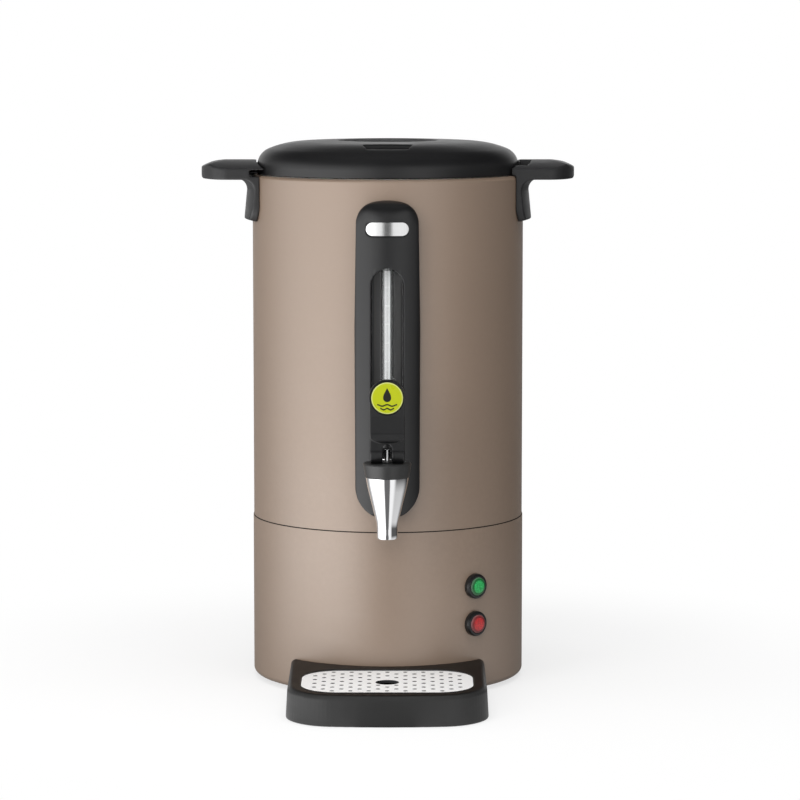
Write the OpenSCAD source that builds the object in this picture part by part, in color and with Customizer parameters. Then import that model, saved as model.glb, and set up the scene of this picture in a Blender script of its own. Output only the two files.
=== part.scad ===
// Hot drinks urn: a single-walled tank on a base casing, with tap, sight tube, bayonet lid,
// percolator insert and drip tray. Millimetres, Z up. The tap faces -Y. The origin lies on
// the axis of the tank, on the table.

/* [Tank] */
// Outside diameter of the tank shell
tank_d = 223; // [205:1:250]
// Height of the tank shell from the seam to the rim
tank_h = 281.5; // [250:0.5:330]
// Sheet thickness of tank shell and tank floor
tank_t = 1; // [0.8:0.1:1.4]
// Width of the rim ledge that carries the lid
rim_w = 8.5; // [7:0.5:10]
// Height of the tank floor above the seam
floor_up = 16; // [12:0.5:20]
// Diameter of the heater well in the tank floor
well_d = 64; // [56:1:80]
// Depth of the heater well
well_deep = 10; // [6:0.5:14]

/* [Base] */
// How far the base casing stands out beyond the tank wall
base_out = 0.5; // [0.3:0.1:2]
// Height of the base casing
base_h = 132; // [110:1:160]
// Sheet thickness of the base casing
base_t = 1.2; // [0.8:0.1:1.6]
// Height that the feet stand out below the casing
foot_out = 3; // [2:0.5:6]
// Diameter of a foot
foot_d = 22; // [16:1:26]
// Height of the seam between casing and tank
seam_h = 0.8; // [0.5:0.1:1.5]

/* [Lid] */
// How far the lid edge stands in from the tank wall
lid_inset = 3.9; // [3:0.1:5]
// Wall of the lid moulding
lid_t = 2.5; // [2:0.1:3.5]
// Diameter of the finger well in the lid
lid_well_d = 82; // [70:1:90]
// Depth of the finger well
lid_well_deep = 17; // [12:0.5:18]
// Angle that the lid turns to lock
lock_turn = 19; // [16:0.5:20]

/* [Handles] */
// Reach of a handle from the tank wall
handle_out = 42; // [36:0.5:50]
// Width of a handle
handle_w = 82; // [76:1:90]
// Height of a handle leg below the rim
leg_h = 37.8; // [34:0.1:46]

/* [Front column] */
// Gap between the tank wall and the sight tube
gauge_gap = 4.75; // [4.5:0.25:8]
// Width of the column at its widest
column_w = 52.4; // [46:0.2:60]
// Height of the column top below the rim
column_drop = 15.7; // [12:0.1:24]
// Width of the sight tube recess
recess_w = 25.7; // [20:0.1:28]
// Outside diameter of the sight tube
gauge_d = 10.5; // [9:0.5:12]

/* [Tap] */
// Distance of the tap axis from the column front
tap_out = 31; // [28:0.5:44]
// Height of the tap shank above the tank floor
tap_up = 25.2; // [22:0.2:34]
// Outside diameter of the spout end
spout_d = 16.4; // [14:0.2:20]
// Bore of the spout end
spout_bore = 12.6; // [10:0.2:13]
// Outside diameter of the bonnet
bonnet_d = 38; // [34:0.5:42]
// Diameter of the drink disc
disc_d = 26; // [20:0.2:27]

/* [Lamps] */
// Outside diameter of a lamp bezel
lamp_d = 20.6; // [18:0.2:24]
// Angle of the lamps to the right of the tap
lamp_angle = 39; // [32:1:48]
// Height of the green and the red lamp above the table
lamp_z = [88.1, 57.4]; // [40:0.1:110]

/* [Percolator insert] */
// Outside diameter of the riser tube
riser_d = 10; // [8:0.5:12]
// Diameter of the coffee basket
basket_d = 150; // [130:1:170]
// Height of the coffee basket
basket_h = 66; // [50:1:80]

/* [Drip tray] */
// Length of the perforated plate
plate_w = 135; // [110:0.5:165]
// Depth of the perforated plate
plate_deep = 85.4; // [70:0.2:104]
// Width of the tray beside the plate, at its foot
tray_side = 12.5; // [10:0.5:16]
// Depth of the tray in front of the plate
tray_front = 12.4; // [10:0.2:16]
// Depth of the tray between the plate and the base wall
tray_back = 12.2; // [10:0.2:16]
// Height of the tray rim at the back
tray_h = 27.1; // [22:0.1:32]

/* [Hidden] */
$fn = 96;

// Small allowances
eps = 0.01;          // overlap of a cut past a face
skin = 0.15;         // gap between seated curved faces
fit = 0.06;          // running clearance of a pin or stem

// Levels and radii of the two shells
tank_r = tank_d / 2;
base_r = tank_r + base_out;
handle_reach = tank_r + handle_out;
column_reach = tank_r + gauge_gap + gauge_d + 0.25;
tap_reach = column_reach + tap_out;
tray_reach = base_r + tray_back + plate_deep + tray_front;
base_z0 = foot_out;
base_z1 = base_z0 + base_h;
tank_z0 = base_z1 + seam_h;
rim_z = tank_z0 + tank_h;
rim_bend = 2.5;
rim_r = tank_r - rim_w;
floor_z = tank_z0 + floor_up;
tank_in = tank_r - tank_t;

// A ring or disc turned about Z, from the inner to the outer radius
module ring(r_in, r_out, z0, z1) {
    translate([0, 0, z0]) difference() {
        cylinder(r = r_out, h = z1 - z0);
        if (r_in > 0) translate([0, 0, -1]) cylinder(r = r_in, h = z1 - z0 + 2);
    }
}

// A round bar that points from the axis outwards at an angle right of the tap
module spoke(angle, z, r, from, to) {
    rotate([0, 0, angle]) translate([0, -from, z]) rotate([90, 0, 0]) cylinder(r = r, h = to - from);
}

// ---- Tank -------------------------------------------------------------------------------

// The wall, with its top edge rolled inwards to the ledge and the ledge turned down
module tank_section() {
    lip = 1.2;
    translate([tank_in, tank_z0]) square([tank_t, tank_h - rim_bend]);
    translate([tank_r - rim_bend, rim_z - rim_bend]) intersection() {
        difference() {
            circle(rim_bend);
            circle(rim_bend - tank_t);
        }
        square(rim_bend);
    }
    translate([rim_r + lip, rim_z - tank_t]) square([rim_w - lip - rim_bend, tank_t]);
    translate([rim_r + lip, rim_z - lip]) intersection() {
        difference() {
            circle(lip);
            circle(lip - tank_t);
        }
        translate([-lip, 0]) square(lip);
    }
    translate([rim_r, rim_z - 6]) square([tank_t, 6 - lip]);
}

module tank_shell() {
    color([0.58, 0.52, 0.46]) difference() {
        rotate_extrude() tank_section();
        spoke(0, tap_z, shank_r + 0.3, tank_in - 5, tank_r + 5);
        for (a = handle_screw_angles) spoke(a, handle_screw_z, 2.7, tank_in - 5, tank_r + 5);
        spoke(0, column_screw_z, 2.2, tank_in - 5, tank_r + 5);
    }
}

skirt_r = min(tank_in, base_r - base_t) - skin;
module tank_floor() {
    bend = 4;
    well_r = well_d / 2;
    low = floor_z - well_deep;
    color([0.76, 0.76, 0.78]) rotate_extrude() {
        // skirt that centres both shells
        translate([skirt_r - tank_t, base_z1 - 8]) square([tank_t, floor_z + 3.5 - base_z1 + 8]);
        translate([well_r + bend, floor_z - tank_t]) square([skirt_r - well_r - bend - tank_t / 2, tank_t]);
        // rounded shoulder into the well
        translate([well_r + bend, floor_z - bend]) intersection() {
            difference() {
                circle(bend);
                circle(bend - tank_t);
            }
            translate([-bend, 0]) square(bend);
        }
        translate([well_r, low]) square([tank_t, well_deep - bend]);
        translate([0, low - tank_t]) square([well_r + tank_t, tank_t]);
    }
}

module seam_gasket() {
    color([0.1, 0.09, 0.09]) ring(skirt_r + 0.1, base_r - 0.25, base_z1, tank_z0);
}

// ---- Base -------------------------------------------------------------------------------

base_bend = 4;
flange_r = base_r - 8;
plate_z = base_z0 + base_t;

lamp_hole_r = lamp_d / 2 - 2.8;
inlet_angle = 180;
rocker_angle = 204;
inlet_z = 42;

module at_wall(angle, z) rotate([0, 0, angle]) translate([0, -base_r, z]) children();

module base_shell() {
    color([0.6, 0.54, 0.48]) difference() {
        rotate_extrude() {
            translate([base_r - base_t, base_z0 + base_bend]) square([base_t, base_h - base_bend]);
            translate([base_r - base_bend, base_z0 + base_bend]) intersection() {
                difference() {
                    circle(base_bend);
                    circle(base_bend - base_t);
                }
                translate([0, -base_bend]) square(base_bend);
            }
            translate([flange_r, base_z0]) square([base_r - base_bend - flange_r, base_t]);
        }
        for (z = lamp_z) spoke(lamp_angle, z, lamp_hole_r + 0.2, base_r - 6, base_r + 5);
        at_wall(inlet_angle, inlet_z) cube([inlet_cut[0], 20, inlet_cut[1]], center = true);
        at_wall(rocker_angle, inlet_z) cube([rocker_cut[0], 20, rocker_cut[1]], center = true);
    }
}

foot_ring = base_r - 23;
stud_ring = base_r - 26;
module base_plate() {
    color([0.7, 0.71, 0.72]) difference() {
        union() {
            ring(0, flange_r + 3.6, plate_z, plate_z + 1.2);
            // stiffening ring pressed upwards
            ring(50, 57, plate_z + 1.2, plate_z + 3.2);
        }
        translate([0, 0, plate_z - 1]) {
            for (a = [0:15:345]) rotate([0, 0, a]) {
                translate([34, 0, 0]) cylinder(r = 1.75, h = 5, $fn = 24);
                translate([34, -1.75, 0]) cube([10, 3.5, 5]);
                translate([44, 0, 0]) cylinder(r = 1.75, h = 5, $fn = 24);
            }
            for (a = [30:120:270]) rotate([0, 0, a]) translate([stud_ring, 0, 0]) cylinder(r = 2.7, h = 5);
            for (a = [45:90:315]) rotate([0, 0, a]) translate([foot_ring, 0, 0]) cylinder(r = 2.2, h = 5);
        }
    }
}

module clamp_studs() {
    color([0.75, 0.76, 0.78]) for (a = [30:120:270]) rotate([0, 0, a]) translate([stud_ring, 0, 0]) {
        ring(0, 2.5, base_z0 - 1.5, floor_z - tank_t);
        ring(0, 6, floor_z - tank_t - 1.5, floor_z - tank_t);
    }
}

module stud_nuts() {
    color([0.7, 0.7, 0.72]) for (a = [30:120:270]) rotate([0, 0, a]) translate([stud_ring, 0, base_z0 - 1])
        difference() {
            union() {
                cylinder(d = 9.2, h = plate_z - base_z0 + 1, $fn = 6);
                translate([0, 0, plate_z - base_z0 + 0.2]) cylinder(r = 5.5, h = 0.8);
            }
            translate([0, 0, -1]) cylinder(r = 2.5 + fit, h = 9);
        }
}

module rubber_feet() {
    color([0.12, 0.12, 0.12]) for (a = [45:90:315]) rotate([0, 0, a]) translate([foot_ring, 0, 0])
        rotate_extrude() difference() {
            union() {
                translate([0, 1]) square([foot_d / 2 - 0.6, plate_z - 1]);
                square([foot_d / 2 - 1.6, 2]);
                translate([foot_d / 2 - 1.6, 1]) circle(1, $fn = 24);
            }
            translate([-5, -1]) square([5 + 2.3, 9]);
            translate([-5, -1]) square([5 + 4.3, 3.3]);
        }
}

module foot_screws() {
    color([0.7, 0.7, 0.72]) for (a = [45:90:315]) rotate([0, 0, a]) translate([foot_ring, 0, 0]) {
        ring(0, 2, 1.3, plate_z + 5);
        ring(0, 4, 0.9, 2.2);
    }
}

module foot_nuts() {
    color([0.7, 0.7, 0.72]) for (a = [45:90:315]) rotate([0, 0, a]) translate([foot_ring, 0, plate_z + 1.4])
        difference() {
            cylinder(d = 8, h = 2.6, $fn = 6);
            translate([0, 0, -1]) cylinder(r = 2 + fit, h = 5);
        }
}

// ---- Heater and wiring ------------------------------------------------------------------

well_low = floor_z - well_deep - tank_t;
spread_t = 4;
spread_z = well_low - spread_t - 0.1;
element_r = well_d / 2 - 10;
tube_r = 3.2;

module heat_spreader() {
    color([0.8, 0.81, 0.82]) difference() {
        ring(0, well_d / 2, spread_z, well_low - 0.1);
        // half-round groove in which the element is brazed
        translate([0, 0, spread_z - tube_r + 1.5])
            rotate_extrude() translate([element_r, 0]) circle(tube_r + 0.2);
    }
}

module element_ring() {
    z = spread_z - tube_r + 1.5;
    leg = 22;
    color([0.35, 0.35, 0.36]) {
        translate([0, 0, z]) rotate([0, 0, 110]) rotate_extrude(angle = 320)
            translate([element_r, 0]) circle(tube_r);
        for (a = [70, 110]) rotate([0, 0, a]) translate([element_r, 0, z - leg]) {
            cylinder(r = tube_r, h = leg);
            translate([0, 0, -8]) cylinder(r = 1.5, h = 9);
        }
    }
}

// A bimetal control: can, flange and two flat blades
module control(size, tall, flange) {
    ring(0, size / 2, spread_z - tall - 0.1, spread_z - 0.1);
    ring(0, size / 2 + flange, spread_z - tall * 0.45, spread_z - tall * 0.2);
    for (s = [-1, 1]) translate([s * size * 0.3 - 0.4, -3, spread_z - tall - 7]) cube([0.8, 6, 8]);
}

thermostat_x = 10.2 + tube_r - element_r;
cutout_x = element_r - tube_r - 9.2;
module thermostat() color([0.25, 0.22, 0.2]) translate([thermostat_x, 0, 0]) control(15, 9, 2);
module thermal_cutout() color([0.85, 0.83, 0.78]) translate([cutout_x, 0, 0]) control(8, 6, 1.6);

module terminal_block() {
    color([0.85, 0.84, 0.8]) translate([-24, 60, plate_z + 1.3]) difference() {
        cube([48, 12, 14]);
        for (i = [0:3]) translate([6 + 12 * i, -1, 7]) rotate([-90, 0, 0]) cylinder(r = 2, h = 14);
        for (i = [0:3], y = [3, 9]) translate([6 + 12 * i, y, 9]) cylinder(r = 1.6, h = 6);
    }
}

// Direction and frame of a swept wire at point i
function unit(v) = v / norm(v);
function heading(p, i) = unit(p[min(i + 1, len(p) - 1)] - p[max(i - 1, 0)]);
function across(d) = unit(abs(d[2]) > 0.9 ? cross(d, [1, 0, 0]) : cross(d, [0, 0, 1]));
function hoop(p, i, r, n) = let (d = heading(p, i), u = across(d), v = cross(d, u))
    [for (k = [0:n - 1]) p[i] + r * (cos(360 * k / n) * u + sin(360 * k / n) * v)];

// A round wire swept along a list of points
module wire(p, r, n = 8) {
    m = len(p);
    points = [for (i = [0:m - 1]) each hoop(p, i, r, n)];
    sides = [for (i = [0:m - 2], k = [0:n - 1])
        [i * n + k, i * n + (k + 1) % n, (i + 1) * n + (k + 1) % n, (i + 1) * n + k]];
    polyhedron(points = points, faces = concat(sides,
        [[for (k = [n - 1:-1:0]) k]], [[for (k = [0:n - 1]) (m - 1) * n + k]]));
}

// A slack wire between two points, as one smooth dip
function slack(a, b, dip, steps) = [for (i = [0:steps]) let (t = i / steps)
    a + (b - a) * t + [0, 0, -dip * 4 * t * (1 - t)]];

module inner_wires() {
    block_top = plate_z + 16.2;
    leg_end = spread_z - tube_r + 1.5 - 22 - 9.2;
    blade_end = spread_z - 17;
    x = element_r * cos(70);
    y = element_r * sin(70);
    color([0.75, 0.2, 0.15]) {
        wire(slack([x, y, leg_end], [18, 66, block_top], 12, 9), 1.3);
        wire(slack([-x, y, leg_end], [-18, 66, block_top], 12, 9), 1.3);
        wire(slack([thermostat_x + 4.5, 0, blade_end], [6, 66, block_top], 10, 9), 1.3);
        wire(slack([thermostat_x - 4.5, 0, blade_end], [-6, 66, block_top], 10, 9), 1.3);
    }
}

// ---- Appliance inlet and rocker at the back ------------------------------------------------

inlet_cut = [28.4, 20.4];
inlet_in = [24, 16.6];
module inlet_socket() {
    color([0.1, 0.1, 0.1]) at_wall(inlet_angle, inlet_z) difference() {
        union() {
            // flange outside the casing
            difference() {
                translate([0, -0.9, 0]) rotate([90, 0, 0]) linear_extrude(4.2, center = true) difference() {
                    square([50, 24], center = true);
                    for (s = [-1, 1]) translate([s * 20, 0]) circle(1.7);
                }
                translate([0, base_r, -20]) cylinder(r = base_r + skin, h = 40);
            }
            // housing behind the wall
            translate([0, 8, 0]) cube([inlet_cut[0] - 0.4, 20, inlet_cut[1] - 0.4], center = true);
        }
        translate([0, 6, 0]) rotate([90, 0, 0]) linear_extrude(18, center = true) difference() {
            square(inlet_in, center = true);
            for (s = [-1, 1]) translate([s * inlet_in[0] / 2, inlet_in[1] / 2])
                rotate(45) square(5, center = true);
        }
        for (p = inlet_pin_at) translate([p[0], 12, p[1]]) cube([2.2, 20, 4.2], center = true);
    }
}
inlet_pin_at = [[-7, -2], [7, -2], [0, 2]];

module inlet_pins() {
    color([0.8, 0.78, 0.7]) at_wall(inlet_angle, inlet_z)
        for (p = inlet_pin_at) translate([p[0], 11, p[1]]) cube([2, 24, 4], center = true);
}

rocker_cut = [13.4, 19.4];
rocker_tilt = 8;
module rocker_frame() {
    color([0.08, 0.08, 0.08]) at_wall(rocker_angle, inlet_z) difference() {
        union() {
            difference() {
                translate([0, -0.6, 0]) cube([16.6, 3.6, 22.6], center = true);
                translate([0, base_r, -20]) cylinder(r = base_r + skin, h = 40);
            }
            translate([0, 6, 0]) cube([rocker_cut[0] - 0.3, 15, rocker_cut[1] - 0.3], center = true);
        }
        translate([0, 2, 0]) cube([10.4, 15, 16.4], center = true);
        translate([-7, 4, 0]) rotate([0, 90, 0]) cylinder(r = 1 + fit, h = 14);
    }
}

module rocker() {
    color([0.75, 0.1, 0.08]) at_wall(rocker_angle, inlet_z) translate([0, 4, 0]) rotate([rocker_tilt, 0, 0]) {
        difference() {
            intersection() {
                rotate([0, 90, 0]) cylinder(r = 7.2, h = 9.6, center = true);
                translate([0, -4.4, 0]) cube([10, 9.6, 15], center = true);
            }
            // shallow hollow across the face
            translate([0, -17.5, 0]) rotate([0, 90, 0]) cylinder(r = 11.6, h = 12, center = true);
        }
        rotate([0, 90, 0]) cylinder(r = 1, h = 12.4, center = true);
    }
}

// ---- Signal lamps --------------------------------------------------------------------------

lamp_proud = 6.5;
module lamp_bezels() {
    color([0.08, 0.08, 0.08]) for (z = lamp_z) rotate([0, 0, lamp_angle]) translate([0, -base_r, z])
        rotate([90, 0, 0]) difference() {
            rotate_extrude() {
                difference() {
                    union() {
                        square([lamp_d / 2, lamp_proud - 2]);
                        square([lamp_d / 2 - 2, lamp_proud]);
                        translate([lamp_d / 2 - 2, lamp_proud - 2]) circle(2);
                    }
                    translate([-1, -1]) square([1 + lamp_d / 2 - 2.9, 12]);
                }
                translate([lamp_d / 2 - 4.4, -14]) square([1.6, 14.5]);
            }
            translate([0, -30, -base_r]) rotate([-90, 0, 0]) difference() {
                cylinder(r = base_r + skin, h = 60);
                cylinder(r = base_r - base_t - skin, h = 60);
                translate([0, 0, 30]) rotate([90, 0, 0]) cylinder(r = lamp_hole_r, h = 300);
            }
        }
}

module lens(z) {
    r = lamp_d / 2 - 3;
    rotate([0, 0, lamp_angle]) translate([0, -base_r, z]) rotate([90, 0, 0]) difference() {
        union() {
            translate([0, 0, 1]) cylinder(r = r, h = lamp_proud - 2.2);
            intersection() {
                translate([0, 0, lamp_proud - 1.2 - 24]) sphere(25.4);
                translate([0, 0, 1]) cylinder(r = r, h = lamp_proud);
            }
        }
        cylinder(r = r - 1.6, h = 3.4);
    }
}

module green_lens() color([0.2, 0.65, 0.33]) lens(lamp_z[0]);
module red_lens() color([0.8, 0.2, 0.2]) lens(lamp_z[1]);

module lamp_nuts() {
    color([0.8, 0.8, 0.8]) for (z = lamp_z) rotate([0, 0, lamp_angle]) translate([0, -base_r + base_t + 1, z])
        rotate([-90, 0, 0]) difference() {
            cylinder(d = lamp_d + 3.4, h = 4, $fn = 6);
            translate([0, 0, -1]) cylinder(r = lamp_hole_r + 0.15, h = 9);
        }
}

// ---- Lid -----------------------------------------------------------------------------------

lid_r = tank_r - lid_inset;
lid_z = rim_z + 0.5;
lid_shoulder = 15;                      // radius of the shoulder
lid_haunch = 78.5;                      // radius between shoulder and crown
crown_slope = 1.9;                      // fall of the nearly flat crown, in degrees
crown_h = 26.5;                         // height of the crown at its edge
crown_edge = lid_r - 35.7;              // where the crown passes into the haunch
crown_bend = 0.7;                       // the haunch starts this much steeper than the crown
crown_top = crown_h + crown_edge * tan(crown_slope);
crown_up = [sin(crown_slope + crown_bend), cos(crown_slope + crown_bend)];
haunch_c = [crown_edge, crown_h] - lid_haunch * crown_up;
shoulder_x = lid_r - lid_shoulder;
haunch_tilt = asin((shoulder_x - haunch_c[0]) / (lid_haunch - lid_shoulder));
haunch_up = [sin(haunch_tilt), cos(haunch_tilt)];
shoulder_c = haunch_c + (lid_haunch - lid_shoulder) * haunch_up;

// Half section of the dome, drawn inwards by t, standing on its lower edge
module dome(t) {
    intersection() {
        union() {
            square([crown_edge - 1, 60]);
            intersection() {
                translate(haunch_c) circle(lid_haunch - t, $fn = 360);
                polygon([haunch_c, haunch_c + [0, 110], haunch_c + 110 * haunch_up]);
            }
            translate(shoulder_c) circle(lid_shoulder - t, $fn = 180);
            square([lid_r - t, shoulder_c[1]]);
            square([shoulder_c[0], shoulder_c[1] + 1]);
        }
        // under the slope of the crown
        polygon([[0, 0], [0, crown_top - t / cos(crown_slope)],
            [lid_r + 1, crown_top - t / cos(crown_slope) - (lid_r + 1) * tan(crown_slope)], [lid_r + 1, 0]]);
    }
}

lid_well_r = lid_well_d / 2;
grip_screw_x = lid_well_r - 11;
lid_top = crown_h + (crown_edge - lid_well_r) * tan(crown_slope);
well_floor = lid_top - lid_well_deep;
lug_half = 5;
lug_r = tank_r + 5.5;
lug_z = [lid_z + 0.5, lid_z + 3.8];
lug_mid = lock_turn / 2;
seal_r = [tank_r - 7.6, tank_r - 5.4];

// The front scoop: a level step cut into the dome
scoop_back = lid_r - 34.2;
scoop_span = 17.5;
module scoop() {
    front = scoop_back + 24;
    polygon([[-20, -scoop_back], [20, -scoop_back], [14.5, -front], [-14.5, -front]]);
}

module lid_shell() {
    step = crown_h - 3.9;
    color([0.13, 0.13, 0.13]) translate([0, 0, lid_z]) difference() {
        union() {
            rotate_extrude() difference() {
                union() {
                    difference() {
                        dome(0);
                        translate([-1, -eps]) square([2, 1]);
                        translate([0, -eps]) dome(lid_t);
                    }
                    // wall and floor of the finger well
                    intersection() {
                        dome(0);
                        translate([0, well_floor - lid_t]) square([lid_well_r + lid_t, 40]);
                    }
                    // inner ring that presses on the seal
                    translate([seal_r[0] - 1.6, 0.8]) square([lid_r - seal_r[0], 5]);
                }
                translate([-1, well_floor]) square([1 + lid_well_r, 40]);
                // rounded lip of the well
                translate([lid_well_r - eps, lid_top - 1.6]) difference() {
                    square(1.6);
                    translate([1.6, 0]) circle(1.6, $fn = 48);
                }
                // groove of the seal
                translate([seal_r[0] - 0.2, -1]) square([seal_r[1] - seal_r[0] + 0.4, 3.2]);
            }
            // floor and walls of the front scoop
            rotate([0, 0, -90 - scoop_span]) rotate_extrude(angle = 2 * scoop_span)
                translate([scoop_back, step]) polygon([[-3.5, -lid_t], [-3.5, 2.6], [6, 2.3],
                    [16, 0.5], [24.2, -2.2], [24.2, -lid_t]]);
            // bayonet lugs
            for (a = [-90 - lug_mid, 90 - lug_mid]) rotate([0, 0, a]) rotate([0, 0, 90 - lug_half])
                rotate_extrude(angle = 2 * lug_half) translate([lid_r - 0.8, lug_z[0] - lid_z])
                    square([lug_r - lid_r + 0.8, lug_z[1] - lug_z[0]]);
        }
        translate([0, 0, step]) linear_extrude(20) scoop();
        // steam holes and grip screw holes in the floor of the well
        for (a = [0:72:288]) rotate([0, 0, a]) translate([0, 10 - lid_well_r, 0])
            cylinder(r = 1.6, h = 60, $fn = 24);
        for (s = [-1, 1]) translate([s * grip_screw_x, 0, 0]) cylinder(r = 2.1, h = 60, $fn = 24);
    }
}

module lid_grip() {
    bar = 22;
    room = lid_well_r - 22;
    color([0.15, 0.15, 0.15]) translate([0, 0, lid_z]) difference() {
        intersection() {
            translate([0, 0, well_floor]) cylinder(r = lid_well_r - 0.3, h = lid_well_deep);
            // cross section with rounded flanks
            rotate([90, 0, 90]) linear_extrude(100, center = true) union() {
                translate([-bar / 2, well_floor]) square([bar, lid_well_deep - 5]);
                translate([-bar / 2 + 5, well_floor]) square([bar - 10, lid_well_deep]);
                for (s = [-1, 1]) translate([s * (bar / 2 - 5), lid_top - 5]) circle(5, $fn = 48);
            }
        }
        // finger room under the bar
        translate([0, 0, well_floor + 4]) rotate([90, 0, 0]) linear_extrude(60, center = true) union() {
            translate([-room, -6]) square([2 * room, 7]);
            translate([0, 1]) intersection() {
                translate([-room, 0]) square([2 * room, 30]);
                translate([0, -35]) circle(39.5, $fn = 240);
            }
        }
        for (s = [-1, 1]) translate([s * grip_screw_x, 0, well_floor - 1]) cylinder(r = 1.9, h = 9, $fn = 24);
    }
}

module grip_screws() {
    color([0.75, 0.75, 0.77]) for (s = [-1, 1]) translate([s * grip_screw_x, 0, lid_z]) {
        ring(0, 1.8, well_floor - lid_t - 0.3, well_floor + 7);
        ring(0, 3.6, well_floor - lid_t - 2.2, well_floor - lid_t - 0.2);
    }
}

module lid_seal() {
    color([0.8, 0.8, 0.78]) ring(seal_r[0], seal_r[1], rim_z + 0.1, rim_z + 2.4);
}

// ---- Handles -------------------------------------------------------------------------------

handle_in = lid_r + 1;
handle_z = rim_z - 3.1;                 // underside of the grip
handle_edge = rim_z + 6.2;              // top edge at the front and back
handle_top = rim_z + 12;                // top of the crown
handle_half = handle_w / 2;
handle_root = lid_r - 17;               // the grip is drawn from inside the lid outwards
leg_z = rim_z - leg_h;
leg_t = 4.4;
leg_fillet = 9;
crown_rise = handle_top - handle_edge;
crown_y = (pow(handle_half, 2) + pow(crown_rise, 2)) / (2 * crown_rise);
nose_r = 56;                            // fall of the grip's top towards its tip
nose_x = handle_reach - 24;
tip_r = 62;                             // bow of the tip seen from above
tip_corner = 16;
handle_screw_z = rim_z - 9.5;
handle_screw_angles = [79, 101, 259, 281];
channel_r = lug_r + 2.2;

// Outline of the handle seen from above, with a rounded tip
module handle_plan() {
    corner_y = handle_half - tip_corner;
    corner_x = sqrt(pow(tip_r - tip_corner, 2) - pow(corner_y, 2));
    difference() {
        union() {
            translate([handle_root, -handle_half])
                square([handle_reach - tip_r + corner_x - handle_root, handle_w]);
            translate([handle_reach - tip_r, 0]) {
                for (s = [-1, 1]) translate([corner_x, s * corner_y]) circle(tip_corner);
                intersection() {
                    circle(tip_r, $fn = 360);
                    polygon([[0, 0], 2 * [corner_x, -corner_y], 2 * [corner_x, corner_y]]);
                }
            }
        }
        circle(handle_in);
    }
}

// Outline seen from the front: flat below, crowned and falling towards the tip
module handle_profile() {
    edge = 2.5;
    intersection() {
        union() {
            translate([nose_x, handle_top - nose_r]) circle(nose_r, $fn = 360);
            translate([handle_root, handle_z - 30])
                square([nose_x - handle_root, handle_top - handle_z + 30]);
        }
        union() {
            translate([handle_root, handle_z]) square([handle_reach - edge - handle_root, 30]);
            translate([handle_root, handle_z + edge]) square([handle_reach - handle_root, 8]);
            translate([handle_reach - edge, handle_z + edge]) circle(edge, $fn = 48);
            translate([handle_reach - edge, handle_z + edge + 8]) circle(edge, $fn = 48);
        }
    }
}

// Leg that hugs the tank, with the fillet under the grip
module leg_section() {
    r0 = tank_r + skin;
    difference() {
        union() {
            polygon([[r0, handle_z + 1], [r0, leg_z], [r0 + leg_t + 2.3, leg_z + 1.9],
                [r0 + leg_t + 1.9, leg_z + 6], [r0 + leg_t, handle_z - leg_fillet],
                [r0 + leg_t, handle_z + 1]]);
            translate([r0 + leg_t - eps, handle_z - leg_fillet]) square([leg_fillet + eps, leg_fillet + 1]);
        }
        translate([r0 + leg_t + leg_fillet, handle_z - leg_fillet]) circle(leg_fillet);
    }
}

module leg_outline() {
    corner = 17;
    translate([-handle_half, leg_z + corner]) square([handle_w, 60]);
    translate([-handle_half + corner, leg_z - 3]) square([handle_w - 2 * corner, 60]);
    for (s = [-1, 1]) translate([s * (handle_half - corner), leg_z + corner - 3]) circle(corner);
}

// The handle on the right; the left one is the same piece turned half a turn
module handle() {
    notch = lug_half + 1.2;
    difference() {
        union() {
            intersection() {
                translate([0, 0, handle_z - 1]) linear_extrude(40) handle_plan();
                rotate([90, 0, 0]) linear_extrude(handle_w + 2, center = true) handle_profile();
                translate([handle_root, 0, handle_top - crown_y])
                    rotate([0, 90, 0]) cylinder(r = crown_y, h = handle_reach - handle_root + 5, $fn = 720);
            }
            intersection() {
                rotate([0, 0, -25]) rotate_extrude(angle = 50) leg_section();
                translate([handle_root, 0, 0]) rotate([90, 0, 90]) linear_extrude(60) leg_outline();
            }
        }
        // seat on the rolled rim
        translate([0, 0, handle_z - 5]) cylinder(r = tank_r + skin, h = rim_z + skin - handle_z + 5);
        // bayonet channel, open at the back end
        translate([0, 0, rim_z - 0.6]) rotate([0, 0, -lug_mid - notch])
            rotate_extrude(angle = lug_mid + notch + 25) translate([handle_root, 0])
                square([channel_r - handle_root, 5.4]);
        // notch through which the lug drops in
        translate([0, 0, rim_z]) rotate([0, 0, -lug_mid - notch]) rotate_extrude(angle = 2 * notch)
            translate([handle_root, 0]) square([lug_r + 0.8 - handle_root, 30]);
        for (a = [-11, 11]) rotate([0, 0, a]) translate([tank_r - 2, 0, handle_screw_z])
            rotate([0, 90, 0]) cylinder(r = 2.5, h = 5.9);
    }
}

module handle_right() color([0.15, 0.15, 0.15]) handle();
module handle_left() color([0.15, 0.15, 0.15]) rotate([0, 0, 180]) handle();

module handle_screws() {
    color([0.75, 0.76, 0.78]) for (a = handle_screw_angles) {
        spoke(a, handle_screw_z, 2.35, tank_in - 3, tank_r + 3.6);
        spoke(a, handle_screw_z, 4.6, tank_in - 3.5, tank_in - 0.7);
    }
}

// ---- Front column --------------------------------------------------------------------------

tap_z = floor_z + tap_up;
shank_r = 9;
column_top = rim_z - column_drop;
column_half = column_w / 2;
column_root = tank_r - 31.5;            // the column is drawn from inside the tank outwards
column_foot_r = column_half - 0.5;
column_foot_z = tap_z - 3.2;
column_bow = 48;                        // radius of the bowed front
column_edge = 6;                        // rounding of the long edges
recess_top = column_top - 53.8;
recess_back = column_reach - gauge_d - 1;
gauge_y = -(tank_r + gauge_gap + gauge_d / 2);
gauge_top = recess_top + 6;
pocket_half = gauge_d / 2 + 4.25;
badge_z = column_top - 22.3;
column_screw_z = column_top - 34;

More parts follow.
